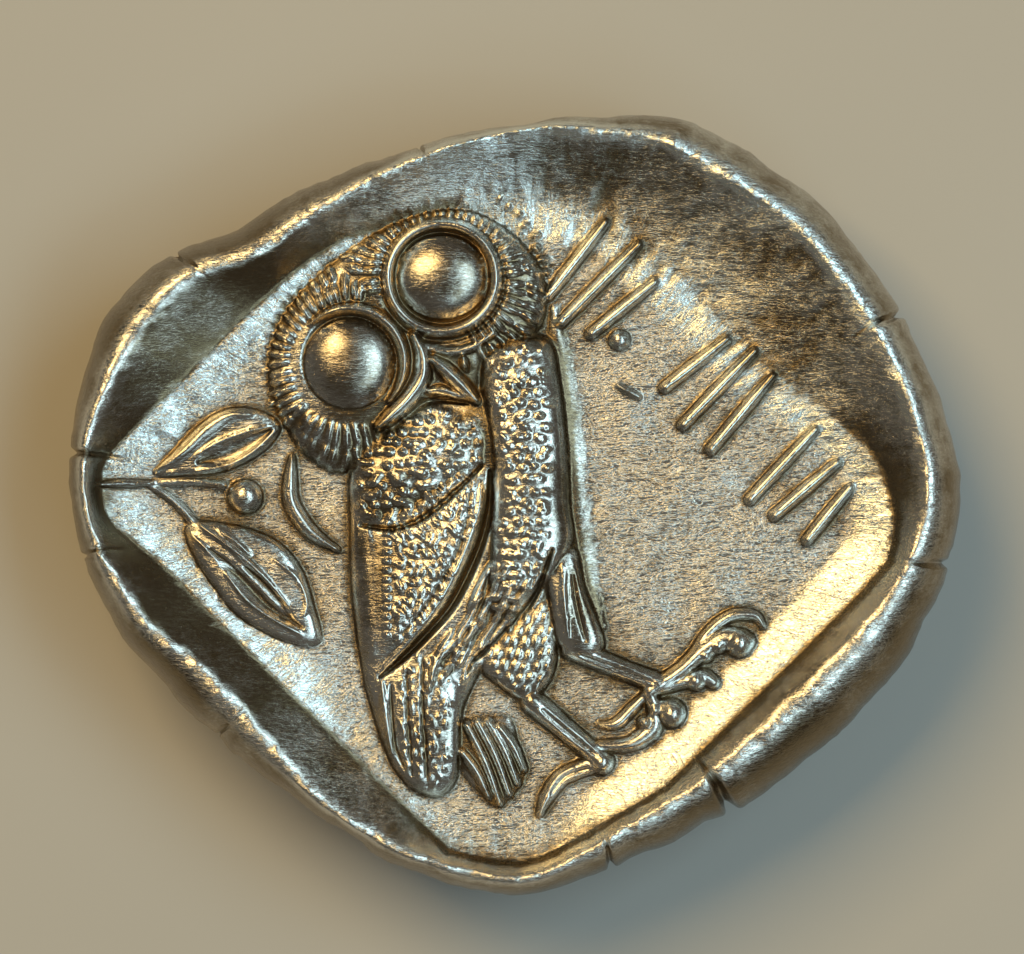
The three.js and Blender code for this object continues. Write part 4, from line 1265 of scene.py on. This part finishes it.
def silver_finish(settings):
    """Old struck silver: bright on the rubbed places, darker brown-grey where toning and painted shade lie in
    the hollows, on the walls and on the rim's slope, and lighter where painted highlights lie on the lip's
    crest and the flow band.
    """
    finish = Finish("silver")
    inputs = {0: finish.place(), "Scale": 1 / MM}
    place = finish.node("ShaderNodeVectorMath", {"operation": "SCALE"}, inputs).outputs[0]
    hollow, flow, patina_and_shade = finish.mark("hollow"), finish.mark("flow"), finish.mark("patina_and_shade")
    figure, crest, edge = finish.mark("figure"), finish.mark("crest"), finish.mark("edge")
    apart = finish.node("ShaderNodeSeparateXYZ", None, {0: place})
    x, y = Value(finish, apart.outputs[0]), Value(finish, apart.outputs[1])
    out = (x * x + y * y) ** 0.5
    around = finish.node("ShaderNodeCombineXYZ", None, {
        0: x / (out + 0.01) * 85, 1: y / (out + 0.01) * 85, 2: out * 1.9}).outputs[0]
    rays = finish.noise(around, 1.0, 3.0, 0.55)
    # short hairlines that cross each other
    hairs = None
    for turn in (0.35, 1.2, 2.0, 2.8):
        lines = finish.noise(finish.stretched(place, turn, (2.0, 9.5, 5.0)), 1.0, 2.0, 0.5, 0.9)
        lines = 1 - abs(lines * 2 - 1).ramp(0.0, 0.09)
        hairs = lines if hairs is None else hairs + lines
    specks = finish.noise(place, 5.5, 4.0, 0.6)
    clouds = finish.noise(place, 0.45, 3.0, 0.55)
    patches = finish.noise(place, 1.6, 3.0, 0.6, 0.4)

    # Darker: random toning in clouds and patches, a little more on the figure, and toning with painted shade
    # in the hollows, in the patina mark and on the rim's outer slope. Lighter: painted highlights on the
    # crest and the flow band, and the hairlines.
    tone_and_shade = (hollow.ramp(0.42, 0.9) * 0.8 + clouds.ramp(0.35, 0.75) * 0.4 + patches.ramp(0.45, 0.8) * 0.3
            + figure * 0.14 + patina_and_shade * 0.72 - crest * 0.3 - flow * 0.35 + edge * 0.8 - hairs * 0.12)
    # painted highlight: the flow band's silver is tinted bluish white in place of the cool light's reflection
    silver = finish.mix(flow.ramp(0.2, 1.0), (*settings.bright, 1), (*settings.painted_flow_highlight, 1))
    colour = finish.mix(tone_and_shade.ramp(0.0, 1.0), silver, (*settings.toned_and_shaded, 1))
    rough = 0.07 + 0.10 * specks + 0.10 * hollow + 0.06 * patches + 0.05 * patina_and_shade
    bump = hairs * 0.16 + specks * 0.7 + rays * (0.05 + flow * 1.9)
    bump = bump * (1 - figure * 0.5) * (1 - patina_and_shade * (1 - flow) * 0.7)
    normal = finish.node("ShaderNodeBump", None, {
        "Strength": 1.0, "Distance": settings.bump * MM, "Height": bump}).outputs[0]
    return finish.surface({"Base Color": colour, "Metallic": 1.0, "Roughness": rough, "Normal": normal})


# ---- Stage ----


def plain_finish(name, colour, roughness):
    finish = Finish(name)
    cloud = finish.noise(finish.place(), 30.0, 2.0)
    shade = finish.mix(cloud.ramp(0.3, 0.7), (*colour, 1), (*(c * 0.97 for c in colour), 1))
    return finish.surface({"Base Color": shade, "Roughness": roughness})


def softbox(name, azimuth, polar, size, radiance, colour):
    """A soft area light that looks at the coin. The angles are round from +X and down from overhead."""
    light = bpy.data.lights.new(name, "AREA")
    light.shape = "RECTANGLE"
    light.size, light.size_y = size
    light.energy = radiance * math.pi * size[0] * size[1]
    light.color = colour
    lamp = bpy.data.objects.new(name, light)
    a, p = math.radians(azimuth), math.radians(polar)
    away = Vector((math.sin(p) * math.cos(a), math.sin(p) * math.sin(a), math.cos(p)))
    lamp.location = away * LIGHT_DISTANCE
    lamp.rotation_euler = away.to_track_quat("Z", "Y").to_euler()
    bpy.context.scene.collection.objects.link(lamp)


def overhead_camera(settings):
    camera = bpy.data.cameras.new("camera")
    camera.lens = 200
    camera.sensor_width = 36
    camera.clip_start = 0.01
    camera.clip_end = 10
    eye = bpy.data.objects.new("camera", camera)
    width = settings.view_width * MM
    away = width * camera.lens / camera.sensor_width
    eye.location = (settings.view_x * MM, settings.view_y * MM, CAD_BOX[1].z + away)
    bpy.context.scene.collection.objects.link(eye)
    bpy.context.scene.camera = eye


# ---- What a user would change ----


class CoinSettings(bpy.types.PropertyGroup):
    seed: IntProperty(name="Seed", description="Seed of the flan's unevenness", default=8, min=0)
    owl_bend: FloatProperty(
        name="Owl side detail", description="Furthest a triangle strays from the owl side, in millimetres",
        default=0.0078, min=0.0005, max=0.1, precision=4)
    head_bend: FloatProperty(
        name="Head side detail", description="Furthest a triangle strays from the head side, in millimetres",
        default=0.0125, min=0.0005, max=0.1, precision=4)
    bright: FloatVectorProperty(
        name="Bright silver", description="Colour of rubbed silver", subtype="COLOR", size=3,
        default=(0.77, 0.75, 0.69), min=0, max=1)
    # painted highlight: a bluish-white silver for the flow band, standing in for the cool light's reflection
    painted_flow_highlight: FloatVectorProperty(
        name="Burnished silver", description="Colour where the struck metal flowed", subtype="COLOR", size=3,
        default=(0.92, 0.98, 0.96), min=0, max=1)
    # the dark silver serves both real toning and painted shade
    toned_and_shaded: FloatVectorProperty(
        name="Toned silver", description="Colour of the silver in the hollows", subtype="COLOR", size=3,
        default=(0.215, 0.165, 0.10), min=0, max=1)
    bump: FloatProperty(
        name="Fine relief", description="Height of the finest scratches and grain, in millimetres",
        default=0.0135, min=0, max=0.1, precision=4)


class StageSettings(bpy.types.PropertyGroup):
    floor: FloatVectorProperty(
        name="Floor", description="Colour of the floor", subtype="COLOR", size=3,
        default=(0.62, 0.59, 0.54), min=0, max=1)
    surroundings: FloatVectorProperty(
        name="Surroundings", description="Dim light from all round", subtype="COLOR", size=3,
        default=(0.105, 0.098, 0.084), min=0, max=1)
    warm: FloatProperty(name="Warm light", description="Brightness of the warm softbox", default=7.6, min=0)
    cool: FloatProperty(name="Cool light", description="Brightness of the cool softboxes", default=3.7, min=0)
    view_width: FloatProperty(
        name="View width", description="Millimetres across the view", default=28.67, min=1)
    view_x: FloatProperty(name="View X", description="Middle of the view, in millimetres", default=-0.084)
    view_y: FloatProperty(name="View Y", description="Middle of the view, in millimetres", default=0.84)


class COIN_OT_strike(bpy.types.Operator):
    """Strike both faces of the coin and give it its silver"""

    bl_idname = "coin.strike"
    bl_label = "Strike the coin"

    def execute(self, context):
        settings = context.scene.coin_settings
        coin = bpy.data.objects.new(PIECE, coin_mesh(settings))
        context.scene.collection.objects.link(coin)
        coin.data.materials.append(silver_finish(settings))
        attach(coin, "root")
        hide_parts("coin")
        return {"FINISHED"}


class COIN_OT_stage(bpy.types.Operator):
    """Lay the floor, hang the lights and set up the camera over the coin"""

    bl_idname = "coin.stage"
    bl_label = "Lay the stage"

    def execute(self, context):
        settings = context.scene.stage_settings
        floor_mesh = bpy.data.meshes.new("floor")
        corners = [(x * FLOOR_HALF, y * FLOOR_HALF, 0) for x, y in ((-1, -1), (1, -1), (1, 1), (-1, 1))]
        floor_mesh.from_pydata(corners, [], [(0, 1, 2, 3)])
        floor = bpy.data.objects.new("floor", floor_mesh)
        floor_mesh.materials.append(plain_finish("floor", settings.floor, 0.9))
        context.scene.collection.objects.link(floor)
        softbox("warm_light", 130, 35, (0.13, 0.14), settings.warm, WARM)
        softbox("cool_light", 10, 30, (0.22, 0.11), settings.cool, COOL)
        softbox("low_cool_light", -50, 30, (0.10, 0.08), 0.55 * settings.cool, COOL)
        world = bpy.data.worlds.new("surroundings")
        world.use_nodes = True
        world.node_tree.nodes["Background"].inputs["Color"].default_value = (*settings.surroundings, 1)
        context.scene.world = world
        context.scene.view_settings.view_transform = "Standard"
        overhead_camera(settings)
        return {"FINISHED"}


class COIN_PT_panel(bpy.types.Panel):
    bl_label = "Tetradrachm"
    bl_idname = "COIN_PT_panel"
    bl_space_type = "VIEW_3D"
    bl_region_type = "UI"
    bl_category = "Coin"

    def draw(self, context):
        scene = context.scene
        for settings, operator in (
            (scene.coin_settings, COIN_OT_strike), (scene.stage_settings, COIN_OT_stage),
        ):
            box = self.layout.box()
            for name in settings.__annotations__:
                box.prop(settings, name)
            box.operator(operator.bl_idname)


CLASSES = (CoinSettings, StageSettings, COIN_OT_strike, COIN_OT_stage, COIN_PT_panel)


def register():
    for cls in CLASSES:
        bpy.utils.register_class(cls)
    bpy.types.Scene.coin_settings = PointerProperty(type=CoinSettings)
    bpy.types.Scene.stage_settings = PointerProperty(type=StageSettings)


def unregister():
    del bpy.types.Scene.stage_settings
    del bpy.types.Scene.coin_settings
    for cls in reversed(CLASSES):
        bpy.utils.unregister_class(cls)


def main():
    register()
    bpy.ops.coin.strike()
    bpy.ops.coin.stage()


if __name__ == "__main__":
    main()
